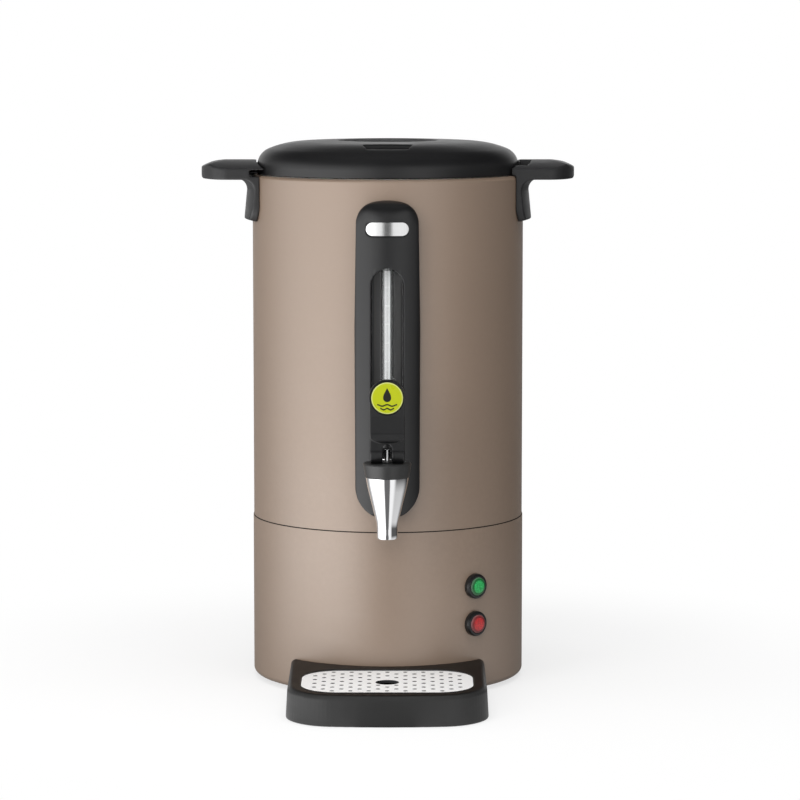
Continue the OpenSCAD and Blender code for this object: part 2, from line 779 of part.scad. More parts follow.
// Cross section from above: bowed front, round edges, back open to the tank
module column_section() {
    bow_y = -(column_reach - column_bow);
    edge_x = column_half - column_edge;
    edge_y = bow_y - sqrt(pow(column_bow - column_edge, 2) - pow(edge_x, 2));
    slope = (edge_y - bow_y) / edge_x;
    difference() {
        union() {
            intersection() {
                translate([0, bow_y]) circle(column_bow, $fn = 240);
                polygon([[0, bow_y], [60, bow_y + 60 * slope], [-60, bow_y + 60 * slope]]);
            }
            for (s = [-1, 1]) translate([s * edge_x, edge_y]) circle(column_edge, $fn = 64);
            translate([-column_half, edge_y]) square([column_w, 40]);
            translate([-edge_x, edge_y - 2]) square([2 * edge_x, 40]);
        }
        circle(tank_r + skin, $fn = 360);
    }
}

// Outline from the front: flattened arch above, half round below
module column_outline() {
    top_half = column_half - 1.3;
    arch = 50;
    corner = 17;
    arch_z = column_top - arch;
    corner_x = top_half - corner;
    corner_z = arch_z + sqrt(pow(arch - corner, 2) - pow(corner_x, 2));
    waist_z = column_top - 101;
    slope = (corner_z - arch_z) / corner_x;
    intersection() {
        translate([0, arch_z]) circle(arch, $fn = 240);
        polygon([[0, arch_z], [60, arch_z + 60 * slope], [-60, arch_z + 60 * slope]]);
    }
    for (s = [-1, 1]) translate([s * corner_x, corner_z]) circle(corner);
    polygon([[-top_half, corner_z], [-column_half, waist_z], [-column_foot_r, column_foot_z],
        [column_foot_r, column_foot_z], [column_half, waist_z], [top_half, corner_z]]);
    translate([0, column_foot_z]) circle(column_foot_r);
    translate([-corner_x, corner_z]) square([2 * corner_x, corner * 0.9]);
}

// Outline from the side: rounded off at the top and at the foot
module column_side() {
    top_round = 13;
    foot_round = 9;
    z0 = column_foot_z - column_foot_r;
    translate([column_root, z0 + foot_round])
        square([column_reach - column_root, column_top - z0 - foot_round - top_round]);
    translate([column_root, z0]) square([column_reach - foot_round - column_root, column_top - z0]);
    translate([column_root, z0]) square([column_reach - top_round - column_root, column_top - z0]);
    translate([column_reach - top_round, column_top - top_round]) circle(top_round);
    translate([column_reach - foot_round, z0 + foot_round]) circle(foot_round);
}

module pill(w, h) {
    square([w - h, h], center = true);
    for (s = [-1, 1]) translate([s * (w - h) / 2, 0]) circle(h / 2, $fn = 64);
}

badge = [33.8, 10.6];
module badge_bar(grow) {
    translate([0, -(tank_r - 21.5), badge_z]) rotate([90, 0, 0])
        linear_extrude(60) pill(badge[0] + grow, badge[1] + grow);
}

module front_column() {
    color([0.15, 0.15, 0.15]) difference() {
        intersection() {
            translate([0, 0, base_z1]) linear_extrude(tank_h) column_section();
            rotate([90, 0, 0]) linear_extrude(200) column_outline();
            rotate([90, 0, -90]) linear_extrude(100, center = true) column_side();
        }
        // recess of the sight tube
        translate([0, -recess_back, 0]) rotate([90, 0, 0]) linear_extrude(40) {
            translate([-recess_w / 2, tap_z - 4]) square([recess_w, recess_top - recess_w / 2 - tap_z + 4]);
            translate([0, recess_top - recess_w / 2]) circle(recess_w / 2);
        }
        // pocket behind the gland
        translate([-pocket_half, -recess_back - 5, tap_z - 4])
            cube([2 * pocket_half, 5 + recess_back - tank_r - 2.2, 40]);
        // socket for the top of the tube
        translate([0, gauge_y, recess_top - 14])
            cylinder(r = gauge_d / 2 + 0.3, h = 14 + gauge_top - recess_top + 2.4);
        // bed of the badge
        badge_bar(0.6);
        // hole for the tap shank and its collars
        spoke(0, tap_z, 13.8, tank_r - 10, column_reach + 10);
        spoke(0, column_screw_z, 1.6, tank_r - 3, column_reach - 5);
    }
    // floor of the badge bed
    color([0.1, 0.1, 0.1]) intersection() {
        translate([0, 0, base_z1]) linear_extrude(tank_h) difference() {
            translate([0, -(column_reach - column_bow)]) circle(column_bow - 1.6, $fn = 240);
            circle(tank_r + skin, $fn = 360);
        }
        badge_bar(0.6);
    }
}

module badge_plate() {
    color([0.85, 0.85, 0.86]) intersection() {
        translate([0, -(column_reach - column_bow), 0])
            ring(column_bow - 1.5, column_bow - 0.1, base_z1, rim_z);
        badge_bar(0);
    }
}

module column_screw() {
    color([0.75, 0.76, 0.78]) {
        spoke(0, column_screw_z, 1.5, tank_in - 3, column_reach - 6);
        spoke(0, column_screw_z, 3.8, tank_in - 3, tank_in - 0.6);
    }
}

// ---- Sight tube ----------------------------------------------------------------------------

gland_z = tap_z + 20;
module gauge_tube() {
    color([0.85, 0.92, 0.95, 0.5]) translate([0, gauge_y, 0])
        ring(gauge_d / 2 - 1.2, gauge_d / 2, gland_z + 3, gauge_top);
}

module gauge_scale() {
    color([0.95, 0.95, 0.95]) translate([-3, -recess_back - 0.6, gland_z + 20])
        cube([6, 0.5, recess_top - gland_z - 22]);
}

module gauge_gland() {
    color([0.12, 0.12, 0.12]) translate([0, gauge_y, 0]) difference() {
        union() {
            translate([0, 0, gland_z]) cylinder(d = gauge_d + 6.1, h = 9, $fn = 6);
            ring(0, gauge_d / 2 + 2.15, gland_z + 9, gland_z + 15);
        }
        translate([0, 0, gland_z - 1]) cylinder(r = gauge_d / 2 + 1.3, h = 13);
        translate([0, 0, gland_z - 1]) cylinder(r = gauge_d / 2 + 0.2, h = 30);
    }
}

module gauge_seals() {
    color([0.85, 0.4, 0.3]) translate([0, gauge_y, 0]) {
        ring(gauge_d / 2 + 0.05, gauge_d / 2 + 1.25, gland_z + 5, gland_z + 11.5);
        ring(gauge_d / 2 - 2.2, gauge_d / 2 + 0.2, gauge_top + 0.1, gauge_top + 2.2);
    }
}

// ---- Tap -----------------------------------------------------------------------------------

tap_collar = column_reach - 1.6;        // back of the collar that hides the hole in the column
spout_z1 = tap_z + 9.8;                 // top of the bright body
spout_z0 = spout_z1 - 48.8;             // end of the spout
valve_z = tap_z - 7.6;                  // valve seat
throat_r = 5.9;
chamber_r = 11.4;
thread_r = 14.4;
bonnet_top = spout_z1 + 11.3;

// Flank of the spout from the end upwards: straight neck, hollow curve, cone, swelling curve
flare = 14;
neck_r = spout_d / 2;
neck_z = spout_z0 + 7.6;
curl = 28;
swell_r = 88;
cone_r0 = neck_r + curl * (1 - cos(flare));
cone_z0 = neck_z + curl * sin(flare);
cone_z1 = spout_z1 - 10.8;
cone_r1 = cone_r0 + (cone_z1 - cone_z0) * tan(flare);
swell_end = asin(sin(flare) - (spout_z1 - cone_z1) / swell_r);
flank = concat(
    [for (a = [0:2:flare]) [neck_r + curl * (1 - cos(a)), neck_z + curl * sin(a)]],
    [for (i = [0:6]) let (a = flare + (swell_end - flare) * i / 6)
        [cone_r1 + swell_r * (cos(a) - cos(flare)), cone_z1 + swell_r * (sin(flare) - sin(a))]]);

module tap_body() {
    boss_y = gauge_y + tap_reach;
    color([0.86, 0.87, 0.88]) translate([0, -tap_reach, 0]) difference() {
        union() {
            rotate_extrude() {
                polygon(concat([[0, spout_z0 + 0.8], [neck_r - 0.8, spout_z0 + 0.8], [neck_r - 0.8, spout_z0],
                    [neck_r, spout_z0 + 0.8]], flank, [[0, spout_z1]]));
                translate([0, spout_z0]) square([neck_r - 0.8, 5]);
                translate([0, spout_z1 - 1]) square([thread_r, 7.2]);
            }
            // side shank with its collar
            translate([0, 0, tap_z]) rotate([-90, 0, 0]) cylinder(r = shank_r, h = tap_reach - tank_in + 14);
            for (y = [tap_collar, tank_r + 2.1]) translate([0, tap_reach - y - 1.7, tap_z])
                rotate([-90, 0, 0]) cylinder(r = 13.4, h = 1.7);
            // boss that feeds the sight tube
            translate([0, boss_y, tap_z]) cylinder(r = gauge_d / 2 + 1.15, h = gland_z - tap_z + 4);
        }
        // spout bore, valve seat and chamber
        translate([0, 0, spout_z0 - 1]) cylinder(r = spout_bore / 2, h = valve_z - spout_z0 - 3);
        translate([0, 0, spout_z0 + 5]) cylinder(r = throat_r, h = valve_z - spout_z0);
        translate([0, 0, valve_z]) cylinder(r = chamber_r, h = 40);
        translate([0, 6, tap_z]) rotate([-90, 0, 0]) cylinder(r = 6.2, h = 80);
        translate([0, boss_y, tap_z]) cylinder(r = 3, h = 60);
        translate([0, boss_y, gland_z + 2.8]) cylinder(r = gauge_d / 2 + 0.15, h = 10);
    }
}

module tap_bonnet() {
    top_r = bonnet_d / 2;
    low_r = top_r - 1.8;
    plate = 4.4;
    color([0.14, 0.14, 0.14]) translate([0, -tap_reach, 0]) difference() {
        rotate_extrude() {
            polygon([[0, spout_z1 + 0.2], [low_r, spout_z1 + 0.2],
                [top_r, bonnet_top - 1], [0, bonnet_top - 1]]);
            translate([0, bonnet_top - 2]) square([top_r - 1.2, 2]);
            translate([top_r - 1.15, bonnet_top - 1.15]) circle(1.15, $fn = 32);
            translate([0, bonnet_top]) square([3.9, 0.5]);
        }
        translate([0, 0, spout_z1 - 1]) cylinder(r = thread_r + 0.15, h = bonnet_top - plate - spout_z1 + 1);
        translate([0, 0, spout_z1]) cylinder(r = stem_r + fit, h = 40);
    }
}

module tap_washers() {
    color([0.7, 0.7, 0.68]) {
        difference() {
            spoke(0, tap_z, 13, tank_r - 3, tank_r + 2);
            spoke(0, tap_z, shank_r + 0.15, tank_r - 9, tank_r + 9);
            cylinder(r = tank_r + skin, h = 600);
        }
        intersection() {
            difference() {
                spoke(0, tap_z, 15, tank_in - 5, tank_r + 3);
                spoke(0, tap_z, shank_r + 0.15, tank_in - 9, tank_r + 9);
            }
            cylinder(r = tank_in - skin, h = 600, $fn = 360);
        }
    }
}

module tap_nut() {
    color([0.8, 0.8, 0.82]) difference() {
        translate([0, -(tank_in - 5.2), tap_z]) rotate([-90, 0, 0]) cylinder(d = 30, h = 5.5, $fn = 6);
        spoke(0, tap_z, shank_r + 0.12, tank_in - 20, tank_r);
    }
}

// The moving rod with its cup, return spring and cross pin
stem_r = 2.2;
pin_up = 7.7;                           // cross pin above the bonnet
pin_z = bonnet_top + pin_up;
pin_r = 1.25;
cup_top = valve_z + 8;

module tap_stem() {
    color([0.85, 0.86, 0.88]) translate([0, -tap_reach, 0]) difference() {
        union() {
            ring(0, stem_r, valve_z + 3, pin_z + 2.6);
            ring(0, 5.4, cup_top + 0.1, cup_top + 1.5);
            ring(0, 3.2, valve_z + 2.9, valve_z + 4.4);
        }
        translate([-10, 0, pin_z]) rotate([0, 90, 0]) cylinder(r = pin_r + 0.02, h = 20);
    }
}

module seat_cup() {
    color([0.75, 0.76, 0.74]) translate([0, -tap_reach, 0]) difference() {
        rotate_extrude() {
            translate([0, valve_z + 1.4]) square([9, cup_top - valve_z - 1.4]);
            polygon([[0, valve_z + 0.2], [8.3, valve_z + 0.2], [9, valve_z + 1.4], [0, valve_z + 1.4]]);
            polygon([[0, valve_z - 1.2], [5.2, valve_z - 1.2], [6, valve_z + 0.2], [0, valve_z + 0.2]]);
        }
        translate([0, 0, valve_z + 2.8]) cylinder(r = stem_r + 0.05, h = 20);
        translate([0, 0, valve_z + 2.8]) cylinder(r = 3.3, h = 1.7);
    }
}

spring_turns = 5;
module tap_spring() {
    r = 4.2;
    z0 = cup_top + 2.2;
    z1 = bonnet_top - 5.2;
    steps = 16 * spring_turns;
    color([0.8, 0.8, 0.82]) translate([0, -tap_reach, 0])
        wire([for (i = [0:steps]) let (a = 360 * spring_turns * i / steps)
            [r * cos(a), r * sin(a), z0 + (z1 - z0) * i / steps]], 0.5, 6);
}

module lever_pin() {
    color([0.85, 0.86, 0.88]) translate([0, -tap_reach, pin_z]) rotate([0, 90, 0])
        cylinder(r = pin_r, h = 2 * fork_half + 0.8, center = true);
}

// Lever: a fork whose round heel lifts the rod as the paddle is pulled forward
heel_r = pin_up - 0.3;
heel_out = 5;
fork_half = 13.2;
slot_half = 3.65;
paddle_half = 13.8;
head_r = disc_d / 2 + 1.3;
head_face = tap_reach + 12.5;           // front of the paddle's head
paddle_face = head_face + 2.5;          // front of its lip
paddle_t = 7;
head_z = pin_z + 44.6;
tongue_z = pin_z + 8.8;
lip_r = 6.4;

// Side outline of the fork and its neck
module fork_side() {
    translate([tap_reach + heel_out, pin_z]) circle(heel_r);
    translate([tap_reach, pin_z]) circle(4.8);
    polygon([[tap_reach - 4.6, pin_z - 1], [tap_reach + heel_out, pin_z - heel_r + 0.6],
        [tap_reach + heel_out + heel_r - 0.1, pin_z], [head_face - 2.5, tongue_z + 3],
        [head_face - 2.5, tongue_z + 9], [head_face - paddle_t + 0.5, tongue_z + 18],
        [tap_reach - 2, pin_z + 8], [tap_reach - 4.7, pin_z + 1]]);
}

// Side outline of the paddle: its lip stands forward and rounds back to the tongue
module paddle_side() {
    back = head_face - paddle_t;
    top = head_z + head_r;
    translate([paddle_face - lip_r, tongue_z + lip_r]) circle(lip_r);
    polygon([[back, tongue_z], [paddle_face - lip_r, tongue_z], [paddle_face - lip_r, tongue_z + lip_r],
        [paddle_face, tongue_z + lip_r], [head_face, tongue_z + lip_r + 15], [head_face, top - 1.6],
        [head_face - 1.6, top], [back + 1.6, top], [back, top - 1.6]]);
    for (x = [1.6, paddle_t - 1.6]) translate([back + x, top - 1.6]) circle(1.6, $fn = 32);
}

// Front outline of the paddle: round head, slight waist, curved tongue
module paddle_front() {
    curve = 24;
    translate([0, head_z]) circle(head_r);
    intersection() {
        polygon([[-paddle_half, head_z], [-paddle_half + 0.5, tongue_z - 2],
            [paddle_half - 0.5, tongue_z - 2], [paddle_half, head_z]]);
        union() {
            translate([0, tongue_z + curve]) circle(curve);
            translate([-20, tongue_z + curve]) square([40, 60]);
        }
    }
}

module tap_lever() {
    color([0.12, 0.12, 0.12]) difference() {
        union() {
            rotate([90, 0, -90]) linear_extrude(2 * fork_half, center = true) fork_side();
            intersection() {
                rotate([90, 0, -90]) linear_extrude(60, center = true) paddle_side();
                rotate([90, 0, 0]) linear_extrude(300) paddle_front();
            }
        }
        // slot for the rod, with a round top
        translate([-slot_half, -paddle_face + 0.5, pin_z - 20]) cube([2 * slot_half, 30, 24.5]);
        translate([0, -paddle_face + 0.5, pin_z + 4.5]) rotate([-90, 0, 0]) cylinder(r = slot_half, h = 30);
        translate([-20, -tap_reach, pin_z]) rotate([0, 90, 0]) cylinder(r = pin_r + fit, h = 40);
        // bed of the disc
        translate([0, -head_face - 1, head_z]) rotate([-90, 0, 0]) cylinder(r = disc_d / 2 + 0.2, h = 2);
    }
}

module lever_disc() {
    color([0.86, 0.9, 0.12]) translate([0, -head_face + 0.9, head_z]) rotate([90, 0, 0])
        rotate_extrude() {
        square([disc_d / 2 - 0.5, 1.3]);
        square([disc_d / 2, 0.8]);
        translate([disc_d / 2 - 0.5, 0.8]) circle(0.5, $fn = 24);
    }
}

// ---- Drip tray -----------------------------------------------------------------------------

tray_w = plate_w + 2 * tray_side;
tray_gap = 1;
tray_root = base_r - 26;                // the tray's corners at the back
plate_t = 1;
plate_lift = tray_h - 2.6;              // underside of the plate
plate_c = -(tray_reach - tray_front - plate_deep / 2); // middle of the plate
plate_corner = 29.5;
tray_corner = 38;
tray_fall = 0.021;                      // fall of the rim towards the front
tray_lean = 1.8;                        // lean of the walls

// One corner post of the tray, leaning outwards to its foot and rounded at the top
module tray_post(r, round_r) {
    top = tray_h + 2.2;
    rotate_extrude($fn = 72) intersection() {
        polygon([[0, -2], [r + tray_lean, -2], [r, top], [0, top]]);
        union() {
            translate([0, -3]) square([r + 3, top - round_r + 3]);
            square([r - round_r + 0.3, top]);
            translate([r - round_r + 0.3, top - round_r]) circle(round_r, $fn = 40);
        }
    }
}

module tray_block() {
    half = tray_w / 2 - tray_lean;
    front = tray_reach - 3.2 - tray_corner;
    side = half - tray_corner;
    bulge = 2;
    back_r = 14;
    // the rim falls a little towards the front, the foot stays level
    level = tray_fall * (base_r + tray_gap) - 2.2;
    multmatrix([[1, 0, 0, 0], [0, 1, 0, 0], [0, tray_fall, 1, level]]) hull() {
        for (i = [-4:4]) let (x = side * i / 4) translate([x, -(front + 1.4 - bulge * pow(i / 4, 2)), 0])
            tray_post(tray_corner, 4.6);
        for (s = [-1, 1]) translate([s * (half - back_r), -tray_root, 0]) tray_post(back_r, 4.6);
    }
}

// Rounded plate outline, drawn inwards by t
module plate_outline(t) {
    w = plate_w / 2 - t;
    d = plate_deep / 2 - t;
    r = plate_corner - t;
    translate([0, plate_c]) {
        square([2 * w, 2 * (d - r)], center = true);
        square([2 * (w - r), 2 * d], center = true);
        for (x = [-1, 1], y = [-1, 1]) translate([x * (w - r), y * (d - r)]) circle(r);
    }
}

tray_floor = 4;
module drip_tray() {
    color([0.16, 0.16, 0.16]) difference() {
        intersection() {
            tray_block();
            translate([-tray_w, -tray_reach - 10, 0.3]) cube([2 * tray_w, tray_reach - base_r + 60, 60]);
        }
        translate([0, 0, -1]) cylinder(r = base_r + tray_gap, h = 60, $fn = 360);
        translate([0, 0, plate_lift]) linear_extrude(20) plate_outline(-0.4);
        translate([0, 0, tray_floor]) linear_extrude(40) plate_outline(4.5);
        for (p = tray_pad_at) translate([p[0], p[1], 0]) cylinder(r = 5.3, h = 1.5);
    }
}

tray_pad_at = [for (s = [-1, 1]) each [
    [s * (tray_w / 2 - 22), -(base_r + 20)],
    [s * (tray_w / 2 - 36), -(tray_reach - 26)]]];
module tray_pads() {
    color([0.1, 0.1, 0.1]) for (p = tray_pad_at) translate([p[0], p[1], 0]) cylinder(r = 5, h = 1.45);
}

hole_r = 1.8;
hole_step = [14.3, 7.4];
hole_rank = ceil(plate_w / 2 / hole_step[0]);
hole_rows = ceil(plate_deep / 2 / hole_step[1]);
drain_r = 9.3;
drain_c = plate_c - 3.6;
module drip_plate() {
    color([0.9, 0.9, 0.91]) difference() {
        union() {
            translate([0, 0, plate_lift + 0.1]) linear_extrude(plate_t) plate_outline(0);
            translate([0, drain_c, 0]) ring(0, drain_r + 1.6, plate_lift - 1.2, plate_lift + 0.5);
        }
        translate([0, drain_c, plate_lift - 4]) cylinder(r = drain_r, h = 12);
        for (j = [-hole_rows:hole_rows], i = [-hole_rank:hole_rank]) let (
            x = hole_step[0] * (i + (j % 2 == 0 ? 0.5 : 0)),
            y = hole_step[1] * j,
            cx = max(abs(x) - plate_w / 2 + plate_corner, 0),
            cy = max(abs(y) - plate_deep / 2 + plate_corner, 0),
            d = drain_c - plate_c)
            if (norm([cx, cy]) < plate_corner - hole_r - 1.6 && abs(x) < plate_w / 2 - 6
                && norm([x, y - d]) > drain_r + hole_r + 1.8)
                translate([x, plate_c + y, plate_lift - 4]) cylinder(r = hole_r, h = 12, $fn = 24);
    }
}

// ---- Percolator insert -----------------------------------------------------------------------

riser_r = riser_d / 2;
riser_top = rim_z - 9;
basket_r = basket_d / 2;
basket_z = riser_top - 14 - basket_h;
sheet = 0.8;
sleeve_r = riser_r + 0.25;

module pump_tube() {
    foot_z = floor_z - well_deep + 0.2;
    bell = well_d / 2 - 5;
    color([0.8, 0.81, 0.83]) difference() {
        union() {
            ring(0, riser_r, foot_z + 6, riser_top);
            // bell foot over the heater
            translate([0, 0, foot_z]) rotate_extrude() {
                polygon([[bell - 1, 0], [bell, 0], [bell, 3], [riser_r + 6, 10.5], [riser_r, 12.5],
                    [riser_r - 1, 11.5], [riser_r + 5.6, 9.4], [bell - 1, 2.4]]);
            }
            // collar that carries the basket
            ring(0, riser_r + 3, basket_z - 3, basket_z - 0.2);
        }
        translate([0, 0, foot_z - 1]) cylinder(r = riser_r - 1, h = 400);
        for (a = [0:60:300]) rotate([0, 0, a]) translate([0, 0, foot_z - 0.1]) rotate([90, 0, 0])
            cylinder(r = 1.6, h = 60, $fn = 24);
    }
}

// Rings of punched holes in a round sheet
module punched(z, r) {
    pitch = (basket_r - 14) / 5;
    for (n = [1:5], k = [0:5 * n - 1]) rotate([0, 0, 72 * k / n]) translate([6 + n * pitch, 0, z - 1])
        cylinder(r = r, h = 4, $fn = 16);
}

module basket() {
    color([0.82, 0.83, 0.85]) difference() {
        rotate_extrude() {
            translate([sleeve_r, basket_z]) square([basket_r - sleeve_r - 3, sheet]);
            translate([basket_r - 3, basket_z + 3]) intersection() {
                difference() {
                    circle(3);
                    circle(3 - sheet);
                }
                translate([0, -3]) square(3);
            }
            translate([basket_r - sheet, basket_z + 3]) square([sheet, basket_h - 3]);
            translate([basket_r + 0.4, basket_z + basket_h]) circle(1.2, $fn = 32);
            // middle sleeve on the riser
            translate([sleeve_r, basket_z]) square([sheet, basket_h - 4]);
        }
        punched(basket_z, 1.5);
        for (row = [0, 1], k = [0:15]) rotate([0, 0, 22.5 * k + row * 11.25])
            translate([basket_r - 4, 0, basket_z + basket_h * (1 + row) / 3])
                rotate([0, 90, 0]) cylinder(r = 1.6, h = 9, $fn = 16);
    }
}

module basket_cover() {
    z = basket_z + basket_h + 1.4;
    color([0.82, 0.83, 0.85]) difference() {
        rotate_extrude() {
            translate([sleeve_r, z]) square([basket_r - sleeve_r + 2.4, sheet]);
            translate([basket_r + 2.4 - sheet, z]) square([sheet, 5]);
            translate([sleeve_r, z]) square([sheet, 6]);
        }
        punched(z, 1.5);
    }
}

// ---- Assembly --------------------------------------------------------------------------------

tank_shell();
base_shell();
seam_gasket();
handle_left();
handle_right();
handle_screws();
lid_shell();
lid_grip();
grip_screws();
lid_seal();
front_column();
column_screw();
badge_plate();
gauge_tube();
gauge_scale();
gauge_gland();
gauge_seals();
tap_body();
tap_bonnet();
tap_washers();
tap_nut();
tap_stem();
seat_cup();
tap_spring();
lever_pin();
tap_lever();
lever_disc();
lamp_bezels();
green_lens();
red_lens();
lamp_nuts();
drip_tray();
drip_plate();
tray_pads();
tank_floor();
heat_spreader();
element_ring();
thermostat();
thermal_cutout();
clamp_studs();
stud_nuts();
base_plate();
rubber_feet();
foot_screws();
foot_nuts();
terminal_block();
inner_wires();
inlet_socket();
inlet_pins();
rocker_frame();
rocker();
pump_tube();
basket();
basket_cover();
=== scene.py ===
import math

import bmesh
import bpy
import numpy as np
from mathutils import Matrix, Vector
from mathutils.bvhtree import BVHTree
from mathutils.kdtree import KDTree


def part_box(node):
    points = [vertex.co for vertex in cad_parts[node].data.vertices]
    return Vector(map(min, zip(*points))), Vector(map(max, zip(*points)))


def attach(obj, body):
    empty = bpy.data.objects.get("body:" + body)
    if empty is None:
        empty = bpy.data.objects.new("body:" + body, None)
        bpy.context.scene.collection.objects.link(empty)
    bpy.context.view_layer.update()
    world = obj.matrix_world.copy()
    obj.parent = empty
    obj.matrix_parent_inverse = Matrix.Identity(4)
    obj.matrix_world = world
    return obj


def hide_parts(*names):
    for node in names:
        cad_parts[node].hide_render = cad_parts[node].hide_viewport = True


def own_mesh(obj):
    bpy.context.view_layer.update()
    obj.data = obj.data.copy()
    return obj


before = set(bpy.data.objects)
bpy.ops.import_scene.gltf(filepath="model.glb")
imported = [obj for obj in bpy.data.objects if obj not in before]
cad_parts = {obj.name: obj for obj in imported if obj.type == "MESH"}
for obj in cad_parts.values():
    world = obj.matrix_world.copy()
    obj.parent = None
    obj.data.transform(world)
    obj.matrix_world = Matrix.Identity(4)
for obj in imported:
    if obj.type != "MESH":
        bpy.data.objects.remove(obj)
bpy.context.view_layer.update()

scene = bpy.context.scene
scene.view_settings.view_transform = "Standard"

# --- Studio ---
# A product table: a white floor that runs out to a white background, and four soft lamps at the
# front left, in front, at the left side and overhead. Gloss doesn't see the lamps but a room
# that is brightest at the left, dark overhead, and has one narrow grey flag in front.

camera = bpy.data.objects.new("studio_camera", bpy.data.cameras.new("studio_camera"))
camera.data.lens = 146.74
camera.data.sensor_width = 36.0
camera.location = (0.01002, -2.6933, 0.5369)
camera.rotation_euler = (math.radians(83.491), 0.0, 0.0)
scene.collection.objects.link(camera)
scene.camera = camera


def srgb(red, green, blue):
    """A colour card's 0 to 255 numbers as the linear colour that a shader takes."""
    def linear(v):
        v = v / 255.0
        return v / 12.92 if v <= 0.04045 else ((v + 0.055) / 1.055) ** 2.4
    return (linear(red), linear(green), linear(blue), 1.0)


def join(tree, source, target):
    """Runs one noodle between two sockets."""
    tree.links.new(source, target)


def reckon(tree, kind, first, second=0.0):
    """A Math node with sockets or plain numbers on its two inputs."""
    node = tree.nodes.new("ShaderNodeMath")
    node.operation = kind
    for socket, value in zip(node.inputs, (first, second)):
        if isinstance(value, (int, float)):
            socket.default_value = value
        else:
            join(tree, value, socket)
    return node.outputs["Value"]


def times(tree, first, second):
    """Two sockets or numbers multiplied."""
    return reckon(tree, "MULTIPLY", first, second)


def plus(tree, first, second):
    """Two sockets or numbers added."""
    return reckon(tree, "ADD", first, second)


def place_of(tree, kind="Object"):
    """The place that is being shaded, in metres."""
    return tree.nodes.new("ShaderNodeTexCoord").outputs[kind]


def split(tree, vector):
    """A vector's X, Y and Z sockets."""
    node = tree.nodes.new("ShaderNodeSeparateXYZ")
    join(tree, vector, node.inputs["Vector"])
    return node.outputs


def radius_of(tree, place):
    """How far a split place is from its own upright axis."""
    return reckon(tree, "SQRT", plus(tree, times(tree, place["X"], place["X"]),
                                     times(tree, place["Y"], place["Y"])))


def overlaid(tree, factor, first, second):
    """Two shaders, blended from the first to the second."""
    node = tree.nodes.new("ShaderNodeMixShader")
    for socket, source in zip(node.inputs, (factor, first, second)):
        join(tree, source, socket)
    return node.outputs[0]


def stretch(tree, value, low, high, new_low, new_high, smooth=False):
    """A clamped Map Range."""
    node = tree.nodes.new("ShaderNodeMapRange")
    if smooth:
        node.interpolation_type = "SMOOTHSTEP"
    join(tree, value, node.inputs["Value"])
    for label, number in (("From Min", low), ("From Max", high), ("To Min", new_low),
                          ("To Max", new_high)):
        if isinstance(number, (int, float)):
            node.inputs[label].default_value = number
        else:
            join(tree, number, node.inputs[label])
    return node.outputs["Result"]


def softbox(name, place, target, width, height, watts):
    """A rectangular soft lamp that faces its target and that gloss doesn't see."""
    lamp = bpy.data.lights.new(name, "AREA")
    lamp.shape = "RECTANGLE"
    lamp.size = width
    lamp.size_y = height
    lamp.energy = watts
    holder = bpy.data.objects.new(name, lamp)
    holder.location = place
    aim = Vector(target) - Vector(place)
    holder.rotation_euler = aim.to_track_quat("-Z", "Y").to_euler()
    holder.visible_glossy = False
    scene.collection.objects.link(holder)


softbox("front_left_lamp", (-1.75, -2.35, 1.30), (0.0, 0.0, 0.22), 1.1, 1.6, 25.0)
softbox("front_lamp", (-0.30, -2.90, 1.05), (0.0, 0.0, 0.22), 1.2, 1.0, 19.0)
softbox("left_side_lamp", (-2.60, 0.15, 0.75), (0.0, 0.0, 0.22), 1.2, 1.8, 9.0)
softbox("overhead_lamp", (0.0, -0.55, 2.60), (0.0, -0.10, 0.0), 2.2, 2.0, 48.0)

# What gloss sees: levels beside a white of 1, turns in radians from straight in front
FLAG_LEVEL = 0.15
FLAG_EDGE = (-0.05, 0.06)       # where the flag's edge begins and ends, from its half width
GLOW_COMES = (-2.1, -1.2)       # the brighter left
GLOW_GOES = (-0.75, -0.2)
WALL_COMES = 0.6                # the darker right
WALL_GOES = (2.3, 2.8)


def room_gloss(tree, turn, half, left_share, right_level, wall_full):
    """How bright the room is to gloss by the turn from straight ahead, to the right. The flag
    covers half radians on each side, and the right is at its level from wall_full on."""
    aside = reckon(tree, "ABSOLUTE", turn)
    inner, outer = (plus(tree, half, step) for step in FLAG_EDGE)
    flag = stretch(tree, aside, inner, outer, FLAG_LEVEL, 1.0, True)
    glow = times(tree, stretch(tree, turn, *GLOW_COMES, 0.0, 1.0, True),
                 stretch(tree, turn, *GLOW_GOES, 1.0, 0.0, True))
    left = plus(tree, 1.0, times(tree, glow, left_share))
    wall = times(tree, stretch(tree, turn, WALL_COMES, wall_full, 0.0, 1.0, True),
                 stretch(tree, turn, *WALL_GOES, 1.0, 0.0, True))
    right = stretch(tree, wall, 0.0, 1.0, 1.0, right_level)
    return times(tree, times(tree, flag, left), right)


